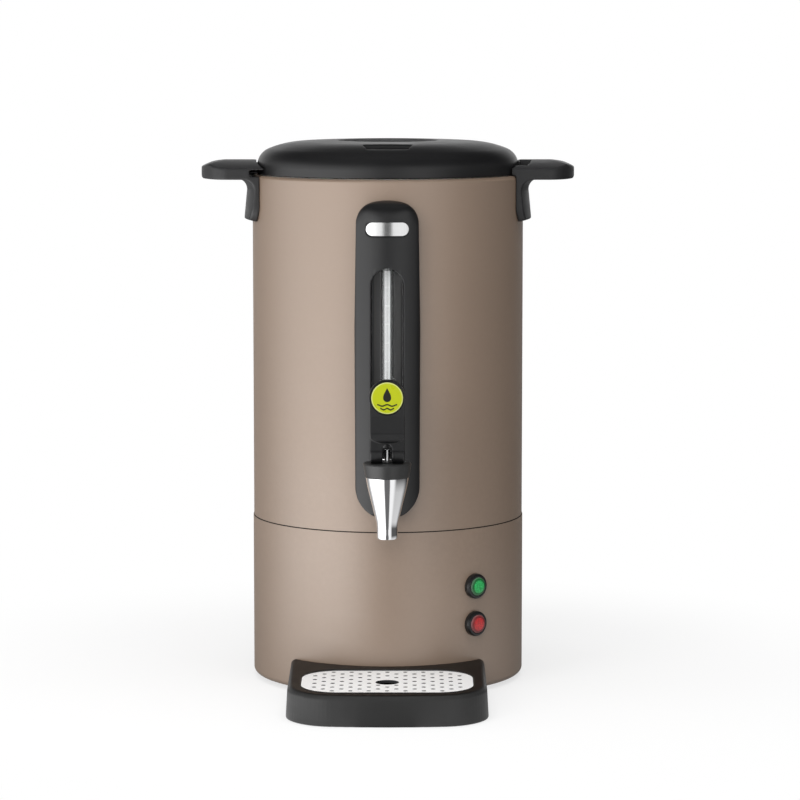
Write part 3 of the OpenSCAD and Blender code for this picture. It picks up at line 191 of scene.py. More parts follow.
def light_the_room():
    """The world: plain light on the object, white where the lens sees past it, and for gloss
    the bright room with its dark ceiling and flag."""
    world = bpy.data.worlds.new("studio_room")
    world.use_nodes = True
    tree = world.node_tree
    tree.nodes.clear()
    out = tree.nodes.new("ShaderNodeOutputWorld")

    def background(level):
        node = tree.nodes.new("ShaderNodeBackground")
        node.inputs["Color"].default_value = (1.0, 1.0, 1.0, 1.0)
        node.inputs["Strength"].default_value = level
        return node

    plain, seen, gloss = background(0.30), background(1.0), background(1.0)
    way = split(tree, place_of(tree, "Generated"))
    turn = reckon(tree, "ARCTAN2", way["X"], times(tree, way["Y"], -1.0))
    aside = reckon(tree, "ABSOLUTE", turn)
    ceiling = stretch(tree, way["Z"], 0.16, 0.52, 1.0, 0.03, True)
    rear = plus(tree, stretch(tree, aside, 1.6, 2.2, 1.0, 0.3, True),
                stretch(tree, aside, 2.4, 2.9, 0.0, 0.9, True))
    level = times(tree, room_gloss(tree, turn, 0.14, 0.2, 0.2, 1.3), times(tree, ceiling, rear))
    join(tree, level, gloss.inputs["Strength"])
    ray = tree.nodes.new("ShaderNodeLightPath").outputs
    clear = reckon(tree, "MAXIMUM", ray["Is Camera Ray"], ray["Is Transmission Ray"])
    lit = overlaid(tree, ray["Is Glossy Ray"], plain.outputs[0], gloss.outputs[0])
    join(tree, overlaid(tree, clear, lit, seen.outputs[0]), out.inputs["Surface"])
    scene.world = world


light_the_room()


TAP_REACH = -0.14   # the Y from which the floor's turns are taken


def make_floor():
    """A broad round table top. It is white to the lens and keeps the object's shadow near it,
    a middle grey as a bounce card, and bright to gloss beside the dark flag."""
    mesh = bpy.data.meshes.new("floor")
    bm = bmesh.new()
    bmesh.ops.create_circle(bm, cap_ends=True, segments=96, radius=9.0)
    bm.to_mesh(mesh)
    bm.free()
    floor = bpy.data.objects.new("floor", mesh)
    scene.collection.objects.link(floor)
    cloth = bpy.data.materials.new("pale_table")
    cloth.use_nodes = True
    tree = cloth.node_tree
    shader = tree.nodes["Principled BSDF"]
    shader.inputs["Roughness"].default_value = 0.8
    shader.inputs["Specular IOR Level"].default_value = 0.0
    ray = tree.nodes.new("ShaderNodeLightPath").outputs
    shade = tree.nodes.new("ShaderNodeMix")
    shade.data_type = "RGBA"
    join(tree, ray["Is Camera Ray"], shade.inputs["Factor"])
    shade.inputs[6].default_value = (0.42, 0.415, 0.41, 1.0)
    shade.inputs[7].default_value = (0.92, 0.92, 0.92, 1.0)
    join(tree, shade.outputs[2], shader.inputs["Base Color"])
    place = split(tree, place_of(tree))
    ahead = reckon(tree, "SUBTRACT", TAP_REACH, place["Y"])
    turn = reckon(tree, "ARCTAN2", place["X"], ahead)
    wide = radius_of(tree, place)
    half = stretch(tree, wide, 0.4, 1.6, 0.27, 0.14, True)
    near = stretch(tree, wide, 0.15, 0.45, 0.0, 2.4, True)
    left = reckon(tree, "SUBTRACT", near, stretch(tree, wide, 0.9, 1.8, 0.0, 1.3, True))
    right = stretch(tree, wide, 0.25, 0.7, 0.75, 0.10, True)
    gloss = room_gloss(tree, turn, half, left, right, 0.95)
    rear = stretch(tree, reckon(tree, "ABSOLUTE", turn), 1.75, 2.4, 1.0, 0.3, True)
    gloss = times(tree, gloss, rear)
    far = stretch(tree, wide, 0.26, 0.50, 0.68, 1.0, True)
    share = reckon(tree, "MAXIMUM", times(tree, ray["Is Camera Ray"], far),
                   ray["Is Glossy Ray"])
    share = reckon(tree, "MAXIMUM", share, ray["Is Transmission Ray"])
    level = stretch(tree, ray["Is Glossy Ray"], 0.0, 1.0, 1.0, gloss)
    glow = tree.nodes.new("ShaderNodeEmission")
    join(tree, level, glow.inputs["Strength"])
    both = overlaid(tree, share, shader.outputs[0], glow.outputs[0])
    join(tree, both, tree.nodes["Material Output"].inputs["Surface"])
    mesh.materials.append(cloth)


make_floor()

# --- Tank and base, taupe powder coat ---
# The tank is a drawn stainless steel pot and the base a drawn steel skirt. Both are powder
# coated outside, baked to a dull eggshell skin, and the tank is left bright inside.


def new_group(name, inputs, outputs):
    """An empty shader node group, the sockets it is given and those it makes."""
    tree = bpy.data.node_groups.new(name, "ShaderNodeTree")
    for label, value in inputs:
        socket = tree.interface.new_socket(label, in_out="INPUT", socket_type="NodeSocketFloat")
        socket.default_value = value
    for label in outputs:
        tree.interface.new_socket(label, in_out="OUTPUT", socket_type="NodeSocketFloat")
    given = tree.nodes.new("NodeGroupInput").outputs
    return tree, given, tree.nodes.new("NodeGroupOutput").inputs


def noise(tree, vector, scale, detail=2.0, rough=0.5):
    """A noise texture in metres, so scale is waves per metre."""
    node = tree.nodes.new("ShaderNodeTexNoise")
    node.inputs["Detail"].default_value = detail
    node.inputs["Roughness"].default_value = rough
    if isinstance(scale, (int, float)):
        node.inputs["Scale"].default_value = scale
    else:
        join(tree, scale, node.inputs["Scale"])
    join(tree, vector, node.inputs["Vector"])
    return node.outputs["Fac"]


def tinted(tree, factor, first, second):
    """A colour mix. The two colours are sockets or plain colours."""
    node = tree.nodes.new("ShaderNodeMix")
    node.data_type = "RGBA"
    for socket, value in ((node.inputs["Factor"], factor), (node.inputs[6], first),
                          (node.inputs[7], second)):
        if isinstance(value, (int, float, tuple)):
            socket.default_value = value
        else:
            join(tree, value, socket)
    return node.outputs[2]


def shade_of(colour, share):
    """The same colour, lighter or darker."""
    return tuple(min(1.0, c * share) for c in colour[:3]) + (1.0,)


def upward(tree, kind="Normal"):
    """How far the surface looks up, from -1 to 1."""
    return split(tree, tree.nodes.new("ShaderNodeNewGeometry").outputs[kind])["Z"]


def grain_group():
    """Grain: the fine texture of a coat or a moulded skin, with slow cloudy changes."""
    tree, given, made = new_group(
        "Grain", [("Grain per metre", 1400.0), ("Cloud per metre", 18.0)],
        ["Height", "Fleck", "Cloud"])
    place = place_of(tree)
    coarse = noise(tree, place, given["Grain per metre"], 2.0)
    finer = noise(tree, place, times(tree, given["Grain per metre"], 3.1), 1.0)
    height = plus(tree, times(tree, coarse, 0.7), times(tree, finer, 0.3))
    join(tree, height, made["Height"])
    join(tree, stretch(tree, finer, 0.62, 0.80, 0.0, 1.0), made["Fleck"])
    join(tree, noise(tree, place, given["Cloud per metre"], 4.0), made["Cloud"])
    return tree


def dust_group():
    """Dust: a thin pale film that settles on faces that look up, and faint wiped smears."""
    tree, given, made = new_group("Dust and smears", [("Dust", 0.2), ("Smears", 0.3)],
                                  ["Dust mask", "Smear mask"])
    place = place_of(tree)
    up = stretch(tree, upward(tree), 0.35, 1.0, 0.0, 1.0)
    specks = stretch(tree, noise(tree, place, 900.0, 3.0, 0.7), 0.45, 0.75, 0.15, 1.0)
    dust = times(tree, times(tree, up, specks), given["Dust"])
    join(tree, dust, made["Dust mask"])
    wipe = tree.nodes.new("ShaderNodeMapping")
    wipe.inputs["Scale"].default_value = (30.0, 30.0, 150.0)
    wipe.inputs["Rotation"].default_value = (0.4, 0.9, 0.2)
    join(tree, place, wipe.inputs["Vector"])
    streak = noise(tree, wipe.outputs["Vector"], 1.0, 5.0, 0.6)
    streak = stretch(tree, streak, 0.48, 0.72, 0.0, 1.0)
    join(tree, times(tree, streak, given["Smears"]), made["Smear mask"])
    return tree


def wear_group():
    """Edge wear: picks out outside edges, broken up so that it never runs on evenly."""
    tree, given, made = new_group("Edge wear", [("Amount", 0.3)], ["Edge mask"])
    place = place_of(tree)
    point = tree.nodes.new("ShaderNodeNewGeometry").outputs["Pointiness"]
    edge = stretch(tree, point, 0.53, 0.62, 0.0, 1.0)
    broken = stretch(tree, noise(tree, place, 260.0, 4.0, 0.65), 0.40, 0.66, 0.0, 1.0)
    worn = times(tree, times(tree, edge, broken), given["Amount"])
    join(tree, worn, made["Edge mask"])
    return tree


GRAIN = grain_group()
DUST = dust_group()
WEAR = wear_group()


def new_finish(name, colour, roughness, metallic=0.0, **plain):
    """A material with its shader's plain values set. Labels use _ for a space."""
    finish = bpy.data.materials.new(name)
    finish.use_nodes = True
    shader = finish.node_tree.nodes["Principled BSDF"]
    shader.inputs["Base Color"].default_value = colour
    shader.inputs["Roughness"].default_value = roughness
    shader.inputs["Metallic"].default_value = metallic
    for label, value in plain.items():
        shader.inputs[label.replace("_", " ")].default_value = value
    return finish, finish.node_tree, shader


def place_group(tree, group, **values):
    """Puts a group in a material with its own values and gives what it makes."""
    node = tree.nodes.new("ShaderNodeGroup")
    node.node_tree = group
    for label, value in values.items():
        node.inputs[label.replace("_", " ")].default_value = value
    return node.outputs


def bumped(tree, shader, height, depth, strength):
    """Raises the shader's surface by a height of so many metres."""
    bump = tree.nodes.new("ShaderNodeBump")
    bump.inputs["Strength"].default_value = strength
    bump.inputs["Distance"].default_value = depth
    join(tree, height, bump.inputs["Height"])
    join(tree, bump.outputs["Normal"], shader.inputs["Normal"])


# Sizes of the tank in metres
TANK_INSIDE = 0.1108            # up to this radius the wall's steel is bare
MOUTH = 0.1044                  # up to this radius the rolled rim's edge is bare too
# Painted shade: the heights below give the band where the rim's top is painted darker, a shadow
# under the lid's edge
RIM_PAINTED_SHADE = (0.4150, 0.4166)     # heights over which the rim's top darkens
BARE_BELOW = 0.4100             # height at which the bare inside ends


def coated(name, coat, bare_inside):
    """Powder coat over steel. With bare_inside, the tank's inside is left bare steel."""
    finish, tree, shader = new_finish(name, coat, 0.45, Specular_IOR_Level=1.0, IOR=1.7)
    grain = place_group(tree, GRAIN, Grain_per_metre=1700.0, Cloud_per_metre=9.0)
    dust = place_group(tree, DUST, Dust=0.10, Smears=0.5)
    wear = place_group(tree, WEAR, Amount=0.20)
    skin = tinted(tree, grain["Cloud"], shade_of(coat, 0.97), shade_of(coat, 1.03))
    skin = tinted(tree, times(tree, grain["Fleck"], 0.10), skin, shade_of(coat, 0.8))
    skin = tinted(tree, wear["Edge mask"], skin, shade_of(coat, 1.35))
    skin = tinted(tree, dust["Dust mask"], skin, srgb(190, 184, 176))
    place = split(tree, place_of(tree))
    # Painted shade: the rim's top is painted darker, a shadow under the lid's edge
    skin = tinted(tree, stretch(tree, place["Z"], *RIM_PAINTED_SHADE, 0.0, 1.0), skin, shade_of(coat, 0.6))
    rough = plus(tree, 0.40, times(tree, grain["Cloud"], 0.10))
    rough = reckon(tree, "SUBTRACT", rough, times(tree, dust["Smear mask"], 0.05))
    if bare_inside:
        reach = radius_of(tree, place)
        inside = stretch(tree, reach, TANK_INSIDE - 0.0002, TANK_INSIDE, 1.0, 0.0)
        below = stretch(tree, place["Z"], BARE_BELOW - 0.0005, BARE_BELOW, 1.0, 0.0)
        lip = stretch(tree, reach, MOUTH - 0.0002, MOUTH, 1.0, 0.0)
        bare = reckon(tree, "MAXIMUM", times(tree, inside, below), lip)
        skin = tinted(tree, bare, skin, srgb(198, 196, 192))
        rough = stretch(tree, bare, 0.0, 1.0, rough, 0.32)
        join(tree, times(tree, bare, 0.5), shader.inputs["Metallic"])
    join(tree, skin, shader.inputs["Base Color"])
    join(tree, rough, shader.inputs["Roughness"])
    bumped(tree, shader, grain["Height"], 0.00010, 0.35)
    return finish


TAUPE = srgb(149, 127, 109)
tank_finish = coated("taupe_powder_coat_tank", TAUPE, True)
base_finish = coated("taupe_powder_coat_base", TAUPE, False)


def dress(material, *names):
    """Gives CAD nodes their finish on their own material slots."""
    for name in names:
        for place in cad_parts[name].material_slots:
            place.material = material


dress(tank_finish, "tank_shell")
dress(base_finish, "base_shell")

# --- Seam gasket and rubber feet ---
# Black nitrile rubber: a flat ring trapped in the seam between tank and base, four moulded
# feet screwed to the bottom cover, and the drip tray's four stick-on pads.


def rubber(name, colour):
    """Dull rubber with a pale bloom in its grain."""
    finish, tree, shader = new_finish(name, colour, 0.8, Specular_IOR_Level=0.3)
    grain = place_group(tree, GRAIN, Grain_per_metre=2600.0, Cloud_per_metre=60.0)
    dust = place_group(tree, DUST, Dust=0.35, Smears=0.2)
    skin = tinted(tree, grain["Cloud"], colour, shade_of(colour, 1.7))
    skin = tinted(tree, dust["Dust mask"], skin, srgb(120, 116, 110))
    join(tree, skin, shader.inputs["Base Color"])
    join(tree, stretch(tree, grain["Cloud"], 0.3, 0.7, 0.7, 0.9), shader.inputs["Roughness"])
    bumped(tree, shader, grain["Height"], 0.0001, 0.6)
    return finish


dark_rubber = rubber("dark_rubber_skin", srgb(30, 29, 28))
dress(dark_rubber, "seam_gasket", "rubber_feet", "tray_pads")

# --- Side handles ---
# Two solid phenolic mouldings with a spark-eroded black skin. Each is held by two screws
# from inside the tank, and has a channel in its top that the lid's lugs turn into.


def moulded_skin(name, colour, gloss, texture=1500.0, depth=0.00006, level=0.5):
    """Black moulded plastic: fine mould texture, soft handling shine, dust in the open."""
    finish, tree, shader = new_finish(name, colour, gloss, Specular_IOR_Level=level)
    grain = place_group(tree, GRAIN, Grain_per_metre=texture, Cloud_per_metre=26.0)
    dust = place_group(tree, DUST, Dust=0.030, Smears=0.6)
    wear = place_group(tree, WEAR, Amount=0.22)
    skin = tinted(tree, grain["Cloud"], shade_of(colour, 0.85), shade_of(colour, 1.2))
    skin = tinted(tree, times(tree, grain["Fleck"], 0.05), skin, srgb(80, 79, 78))
    skin = tinted(tree, wear["Edge mask"], skin, srgb(72, 71, 70))
    skin = tinted(tree, dust["Dust mask"], skin, srgb(120, 118, 114))
    join(tree, skin, shader.inputs["Base Color"])
    rough = plus(tree, gloss - 0.05, times(tree, grain["Cloud"], 0.12))
    rough = reckon(tree, "SUBTRACT", rough, times(tree, dust["Smear mask"], 0.08))
    rough = plus(tree, rough, times(tree, dust["Dust mask"], 0.5))
    join(tree, rough, shader.inputs["Roughness"])
    bumped(tree, shader, grain["Height"], depth, 0.4)
    return finish


black_skin = moulded_skin("black_spark_skin", srgb(40, 40, 41), 0.44)
satin_skin = moulded_skin("black_satin_skin", srgb(23, 23, 24), 0.38, 1900.0, 0.00004, 0.6)


def settle(piece):
    """Keeps the shape that the piece's modifiers give and drops the modifiers."""
    seen = piece.evaluated_get(bpy.context.evaluated_depsgraph_get())
    mesh = bpy.data.meshes.new_from_object(seen)
    old = piece.data
    piece.modifiers.clear()
    piece.data = mesh
    bpy.data.meshes.remove(old)


def rows_of(items, label, width, kind=np.float32):
    """One attribute of a Blender collection as an array with so many columns."""
    table = np.empty(len(items) * width, dtype=kind)
    items.foreach_get(label, table)
    return table.reshape(-1, width)


EDGE_TURN = math.radians(12.0)   # an edge is where the shape turns by more than this
EDGE_STEP = 0.0004               # metres between the points along an edge


def edge_points(spots, corner_at, normals, corners):
    """Points along every edge of the shape, a step apart."""
    same = np.unique(np.round(spots, 6), axis=0, return_inverse=True)[1].reshape(-1)
    pairs = np.concatenate([corners[:, [0, 1]], corners[:, [1, 2]], corners[:, [2, 0]]])
    ends = same[corner_at[pairs]]
    turned_round = ends[:, 0] > ends[:, 1]
    pairs[turned_round] = pairs[turned_round][:, ::-1]
    ends[turned_round] = ends[turned_round][:, ::-1]
    code = ends[:, 0].astype(np.int64) * (same.max() + 1) + ends[:, 1]
    order = np.argsort(code, kind="stable")
    pairs, code = pairs[order], code[order]
    twin = code[:-1] == code[1:]
    one, two = pairs[:-1][twin], pairs[1:][twin]
    along = np.minimum((normals[one[:, 0]] * normals[two[:, 0]]).sum(1),
                       (normals[one[:, 1]] * normals[two[:, 1]]).sum(1))
    sharp = one[along < math.cos(EDGE_TURN)]
    starts, stops = spots[corner_at[sharp[:, 0]]], spots[corner_at[sharp[:, 1]]]
    points = []
    for start, stop in zip(starts, stops):
        steps = max(1, int(np.linalg.norm(stop - start) / EDGE_STEP))
        points.extend(start + (stop - start) * k / steps for k in range(steps + 1))
    return points


CALM_ROUNDS = 150


def calmed(mesh, normals, where):
    """Lets the shading run on smoothly over the parts that where picks out, apart from the
    faces that look to the rear."""
    ends = rows_of(mesh.edges, "vertices", 2, np.int32)
    seen = normals[:, 1] < 0.25
    ends = ends[seen[ends[:, 0]] & seen[ends[:, 1]]]
    both = np.concatenate([ends, ends[:, ::-1]])
    count = np.bincount(both[:, 0], minlength=len(normals))[:, None]
    where = where[:, None] * (count > 0) * 0.5
    for _ in range(CALM_ROUNDS):
        near = np.stack([np.bincount(both[:, 0], normals[both[:, 1], k], len(normals))
                         for k in range(3)], 1)
        normals = normals + where * (near / np.maximum(count, 1) - normals)
    return (normals / np.linalg.norm(normals, axis=1, keepdims=True)).astype(np.float32)


FREE_BAND = 0.004   # metres over which the moulding comes free of the frame's surface


def true_up(piece, source, near, far, free_above):
    """Lays the moulding back on the frame's own surface wherever that runs on smoothly, so
    that broad faces stay true and only the edges are eased. Above free_above it stays free."""
    source.calc_loop_triangles()
    spots = rows_of(source.vertices, "co", 3)
    corner_at = rows_of(source.loops, "vertex_index", 1, np.int32).reshape(-1)
    normals = rows_of(source.corner_normals, "vector", 3)
    corners = rows_of(source.loop_triangles, "loops", 3, np.int32)
    points = edge_points(spots, corner_at, normals, corners.copy())
    finder = KDTree(max(1, len(points)))
    for k, point in enumerate(points):
        finder.insert(point, k)
    finder.balance()
    skin = BVHTree.FromPolygons(spots.tolist(), corner_at[corners].tolist())
    here = rows_of(piece.data.vertices, "co", 3)
    own = rows_of(piece.data.vertex_normals, "vector", 3)
    away = np.array([finder.find(spot)[2] if points else 1.0 for spot in here],
                    dtype=np.float32)
    found = [skin.find_nearest(spot) for spot in here]
    there = np.array([hit[0] for hit in found], dtype=np.float32)
    tri = corners[np.array([hit[2] for hit in found])]
    a, b, c = (spots[corner_at[tri[:, k]]] for k in range(3))
    ab, ac, ap = b - a, c - a, there - a
    d00, d01, d11 = (ab * ab).sum(1), (ab * ac).sum(1), (ac * ac).sum(1)
    d20, d21 = (ap * ab).sum(1), (ap * ac).sum(1)
    base = np.maximum(d00 * d11 - d01 * d01, 1e-20)
    v, w = (d11 * d20 - d01 * d21) / base, (d00 * d21 - d01 * d20) / base
    share = np.clip(np.stack([1.0 - v - w, v, w], axis=1), 0.0, 1.0)
    exact = sum(normals[tri[:, k]] * share[:, k:k + 1] for k in range(3))
    facing = (exact * own).sum(1) > 0.5
    hold = np.clip((away - near) / (far - near), 0.0, 1.0)
    hold = hold * hold * (3.0 - 2.0 * hold) * facing
    if free_above is not None:
        free = np.clip((here[:, 2] - free_above) / FREE_BAND + 1.0, 0.0, 1.0)
        hold *= 1.0 - free
        own = calmed(piece.data, own, free)
    hold = hold[:, None]
    piece.data.vertices.foreach_set("co", (here * (1.0 - hold) + there * hold).reshape(-1))
    mixed = own * (1.0 - hold) + exact * hold
    mixed /= np.maximum(np.linalg.norm(mixed, axis=1, keepdims=True), 1e-9)
    piece.data.normals_split_custom_set_from_vertices(mixed.tolist())


def smoother(piece, name, rounds):
    """Adds a modifier that smooths the piece."""
    ease = piece.modifiers.new(name, "SMOOTH")
    ease.factor = 0.5
    ease.iterations = rounds
    return ease


def press(name, node, pitch, rounds, keep, material, body,
          melt_above=None, melt=0, filler=None):
    """Moulds a piece over the frame's shape: a skin at the pitch, its edges eased as a
    mould's are, thinned where it is flat, and true on its broad faces. Above melt_above it
    is softened by as many rounds as melt says. The filler adds to the shape first."""
    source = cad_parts[node].data
    mesh = source.copy()
    mesh.materials.clear()
    piece = bpy.data.objects.new(name, mesh)
    scene.collection.objects.link(piece)
    if filler:
        bm = bmesh.new()
        bm.from_mesh(mesh)
        filler(bm)
        bm.to_mesh(mesh)
        bm.free()
    skin = piece.modifiers.new("skin", "REMESH")
    skin.mode = "VOXEL"
    skin.voxel_size = pitch
    smoother(piece, "ease", rounds)
    settle(piece)
    if melt:
        upper = piece.vertex_groups.new(name="upper")
        upper.add([v.index for v in piece.data.vertices if v.co.z > melt_above], 1.0, "ADD")
        smoother(piece, "soften", melt).vertex_group = "upper"
    thin = piece.modifiers.new("thin", "DECIMATE")
    thin.ratio = keep
    settle(piece)
    piece.vertex_groups.clear()
    piece.data.shade_smooth()
    ease = pitch * (1.2 + 0.1 * rounds)
    true_up(piece, source, ease, ease * 2.0, melt_above if melt else None)
    piece.data.materials.clear()
    piece.data.materials.append(material)
    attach(piece, body)
    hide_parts(node)
    return piece


press("handle_left_moulding", "handle_left", 0.0007, 14, 0.4, black_skin, "urn")
press("handle_right_moulding", "handle_right", 0.0007, 14, 0.4, black_skin, "urn")

# --- Lid ---
# A domed lid moulded in the same black plastic, with a round finger well, a bar across it
# that is screwed on from below, a steam scoop at the front and two lugs on its edge.

press("lid_moulding", "lid_shell", 0.0007, 5, 0.4, satin_skin, "lid")
press("lid_grip_moulding", "lid_grip", 0.0005, 5, 0.5, black_skin, "lid")

# --- Front column ---
# The long black moulding that covers the gauge. A screw from inside the tank holds its top,
# and the tap's shank passes through its lower end.


def overprint(finish, factor, colour):
    """Lays one more colour over a finish."""
    tree = finish.node_tree
    base = tree.nodes["Principled BSDF"].inputs["Base Color"]
    join(tree, tinted(tree, factor, base.links[0].from_socket, colour), base)
    return finish


# Where the recess for the gauge ends, in metres, each with a soft edge
RECESS_SIDE = (0.0104, 0.0110)
RECESS_FACE = (-0.1262, -0.1250)
RECESS_TOP = (0.3472, 0.3480)


def column_skin_painted_light():
    """The satin skin, with painted light inside the recess: a paler grey that lifts the shade
    between the recess's walls.
    """
    finish = satin_skin.copy()
    finish.name = "column_satin_skin_painted_light"
    tree = finish.node_tree
    place = split(tree, place_of(tree))
    across = stretch(tree, reckon(tree, "ABSOLUTE", place["X"]), *RECESS_SIDE, 1.0, 0.0)
    deep = stretch(tree, place["Y"], *RECESS_FACE, 0.0, 1.0)
    low = stretch(tree, place["Z"], *RECESS_TOP, 1.0, 0.0)
    inside = times(tree, times(tree, across, deep), low)
    # Painted light: the recess is painted a paler grey than the satin skin around it
    return overprint(finish, inside, srgb(62, 62, 62))


def socket_plug(bm):
    """Closes the thin front wall over the sight tube's top socket."""
    bmesh.ops.create_cone(bm, cap_ends=True, segments=48, radius1=0.0032, radius2=0.0032,
                          depth=0.014, matrix=Matrix.Translation((0.0, -0.1238, 0.3556)))


press("front_column_moulding", "front_column", 0.0006, 5, 0.4, column_skin_painted_light(), "urn",
      0.3865, 80, socket_plug)
dress(satin_skin, "gauge_gland", "rocker_frame", "inlet_socket", "thermostat")

# --- Badge ---
# A plain pressed pill of bright steel, let into the column above the gauge. It carries no
# marks. The other metals are mixed here too.


def steel(name, colour, roughness, grain_way, depth, metallic=1.0):
    """Steel with a fine lay along one way, and faint smears."""
    finish, tree, shader = new_finish(name, colour, roughness, metallic)
    place = place_of(tree)
    lay = tree.nodes.new("ShaderNodeMapping")
    lay.inputs["Scale"].default_value = grain_way
    join(tree, place, lay.inputs["Vector"])
    lines = noise(tree, lay.outputs["Vector"], 1.0, 4.0, 0.6)
    dust = place_group(tree, DUST, Dust=0.04, Smears=0.8)
    cloud = noise(tree, place, 30.0, 3.0)
    streaks = stretch(tree, lines, 0.35, 0.65, 0.0, 1.0)
    skin = tinted(tree, streaks, shade_of(colour, 0.94), colour)
    skin = tinted(tree, times(tree, cloud, 0.10), skin, shade_of(colour, 0.85))
    join(tree, skin, shader.inputs["Base Color"])
    rough = plus(tree, roughness * 0.8, times(tree, lines, roughness * 0.4))
    rough = plus(tree, rough, times(tree, dust["Smear mask"], 0.04))
    join(tree, rough, shader.inputs["Roughness"])
    bumped(tree, shader, lines, depth, 0.3)
    return finish


bright_steel = steel("bright_rolled_steel", srgb(236, 236, 236), 0.16, (2600.0, 2600.0, 60.0),
                     0.000006)
plain_steel = steel("drawn_steel", srgb(196, 194, 190), 0.30, (900.0, 900.0, 90.0), 0.00002)
zinc = steel("zinc_plated_steel", srgb(186, 190, 196), 0.34, (500.0, 500.0, 500.0), 0.00002)
alloy = steel("spun_aluminium", srgb(206, 207, 208), 0.36, (120.0, 120.0, 1400.0), 0.00003)
brass = steel("nickel_brass", srgb(206, 178, 120), 0.24, (900.0, 900.0, 90.0), 0.00001)
dress(bright_steel, "badge_plate")
dress(plain_steel, "tap_nut", "tank_floor", "element_ring")
dress(zinc, "handle_screws", "column_screw", "grip_screws", "lamp_nuts", "clamp_studs",
      "stud_nuts", "base_plate", "foot_screws", "foot_nuts")
dress(alloy, "heat_spreader", "pump_tube", "basket", "basket_cover")
dress(brass, "inlet_pins")

# --- Level gauge ---
# A clear polycarbonate tube in silicone seals, with a white printed strip behind it that
# carries five white level bars.


def clear_plastic(name, colour):
    """Clear tube: faint scale and water marks, and it lets the lamps' light through."""
    finish, tree, shader = new_finish(name, colour, 0.05, Transmission_Weight=1.0, IOR=1.49)
    grain = place_group(tree, GRAIN, Grain_per_metre=300.0, Cloud_per_metre=60.0)
    join(tree, stretch(tree, grain["Cloud"], 0.35, 0.75, 0.02, 0.10),
         shader.inputs["Roughness"])
    ray = tree.nodes.new("ShaderNodeLightPath").outputs
    open_way = reckon(tree, "MAXIMUM", ray["Is Shadow Ray"], ray["Is Diffuse Ray"])
    through = tree.nodes.new("ShaderNodeBsdfTransparent")
    both = overlaid(tree, open_way, shader.outputs[0], through.outputs[0])
    join(tree, both, tree.nodes["Material Output"].inputs["Surface"])
    return finish


dress(clear_plastic("clear_tube_wall", (0.97, 0.98, 0.98, 1.0)), "gauge_tube")


def enamel(name, colour, roughness, speckle=0.2):
    """Printed or moulded colour with a light speckle."""
    finish, tree, shader = new_finish(name, colour, roughness)
    grain = place_group(tree, GRAIN, Grain_per_metre=2200.0, Cloud_per_metre=80.0)
    dust = place_group(tree, DUST, Dust=0.06, Smears=0.4)
    skin = tinted(tree, times(tree, grain["Cloud"], speckle), colour,
                  shade_of(colour, 0.78))
    skin = tinted(tree, dust["Dust mask"], skin, srgb(200, 196, 190))
    join(tree, skin, shader.inputs["Base Color"])
    join(tree, stretch(tree, grain["Cloud"], 0.3, 0.7, roughness * 0.85, roughness * 1.15),
         shader.inputs["Roughness"])
    bumped(tree, shader, grain["Height"], 0.00003, 0.4)
    return finish


CRISP = math.radians(35.0)   # a corner that turns by more stays crisp


def weighted(piece):
    """Smooth shading that keeps broad faces flat and real corners crisp."""
    piece.data.shade_smooth()
    piece.data.set_sharp_from_angle(angle=CRISP)
    shade = piece.modifiers.new("shade", "WEIGHTED_NORMAL")
    shade.keep_sharp = True
    settle(piece)


def make_piece(name, bm, material, body, slot, *nodes):
    """Ends a mesh as a piece: outward faces, its finish, its body and what it stands for."""
    bmesh.ops.recalc_face_normals(bm, faces=bm.faces)
    mesh = bpy.data.meshes.new(name)
    bm.to_mesh(mesh)
    bm.free()
    mesh.materials.append(material)
    piece = bpy.data.objects.new(name, mesh)
    scene.collection.objects.link(piece)
    weighted(piece)
    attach(piece, body)
    if nodes:
        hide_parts(*nodes)
    return piece


STRIP_FACE = -0.11615                                    # the Y of the strip's front
BAR_SIZE = Matrix.Diagonal((0.0056, 0.0001, 0.0009, 1.0))
BAR_EDGE = 0.00002
BAR_HEIGHTS = (0.3327, 0.3180, 0.3033, 0.2883, 0.2736)
white_ink = enamel("white_ink", srgb(236, 236, 236), 0.45)
tick_ink = enamel("white_tick_ink", srgb(250, 250, 250), 0.5, 0.05)
dress(white_ink, "gauge_scale")


def make_ticks():
    """Level bars with eased corners, laid on the strip."""
    bm = bmesh.new()
    for height in BAR_HEIGHTS:
        place = Matrix.Translation((0.0, STRIP_FACE, height))
        made = bmesh.ops.create_cube(bm, size=1.0, matrix=place @ BAR_SIZE)
        edges = list({e for v in made["verts"] for e in v.link_edges})
        bmesh.ops.bevel(bm, geom=edges, offset=BAR_EDGE, segments=2, affect="EDGES",
                        profile=0.5)
    make_piece("level_bars", bm, tick_ink, "urn", "white_print")


make_ticks()

resin = enamel("beige_resin_body", srgb(206, 196, 170), 0.5)
red_moulding = enamel("red_rocker", srgb(176, 30, 26), 0.35)
sleeve = enamel("glass_fibre_sleeve", srgb(214, 210, 198), 0.7, 0.4)
dress(resin, "terminal_block", "thermal_cutout")
dress(red_moulding, "rocker")
dress(sleeve, "inner_wires")

# --- Seals ---
# Translucent white silicone: the lid's ring, the gauge's seals, the tap's washers and the
# seat cup that closes the valve.


def silicone_rubber(name, colour):
    """Milky silicone."""
    finish, tree, shader = new_finish(name, colour, 0.5, Subsurface_Weight=0.2,
                                      Subsurface_Scale=0.002)
    grain = place_group(tree, GRAIN, Grain_per_metre=1800.0, Cloud_per_metre=50.0)
    join(tree, tinted(tree, grain["Cloud"], shade_of(colour, 0.88), colour),
         shader.inputs["Base Color"])
    bumped(tree, shader, grain["Height"], 0.00005, 0.5)
    return finish


milky = silicone_rubber("milky_silicone", srgb(206, 203, 196))
dress(milky, "lid_seal", "gauge_seals", "tap_washers", "seat_cup")

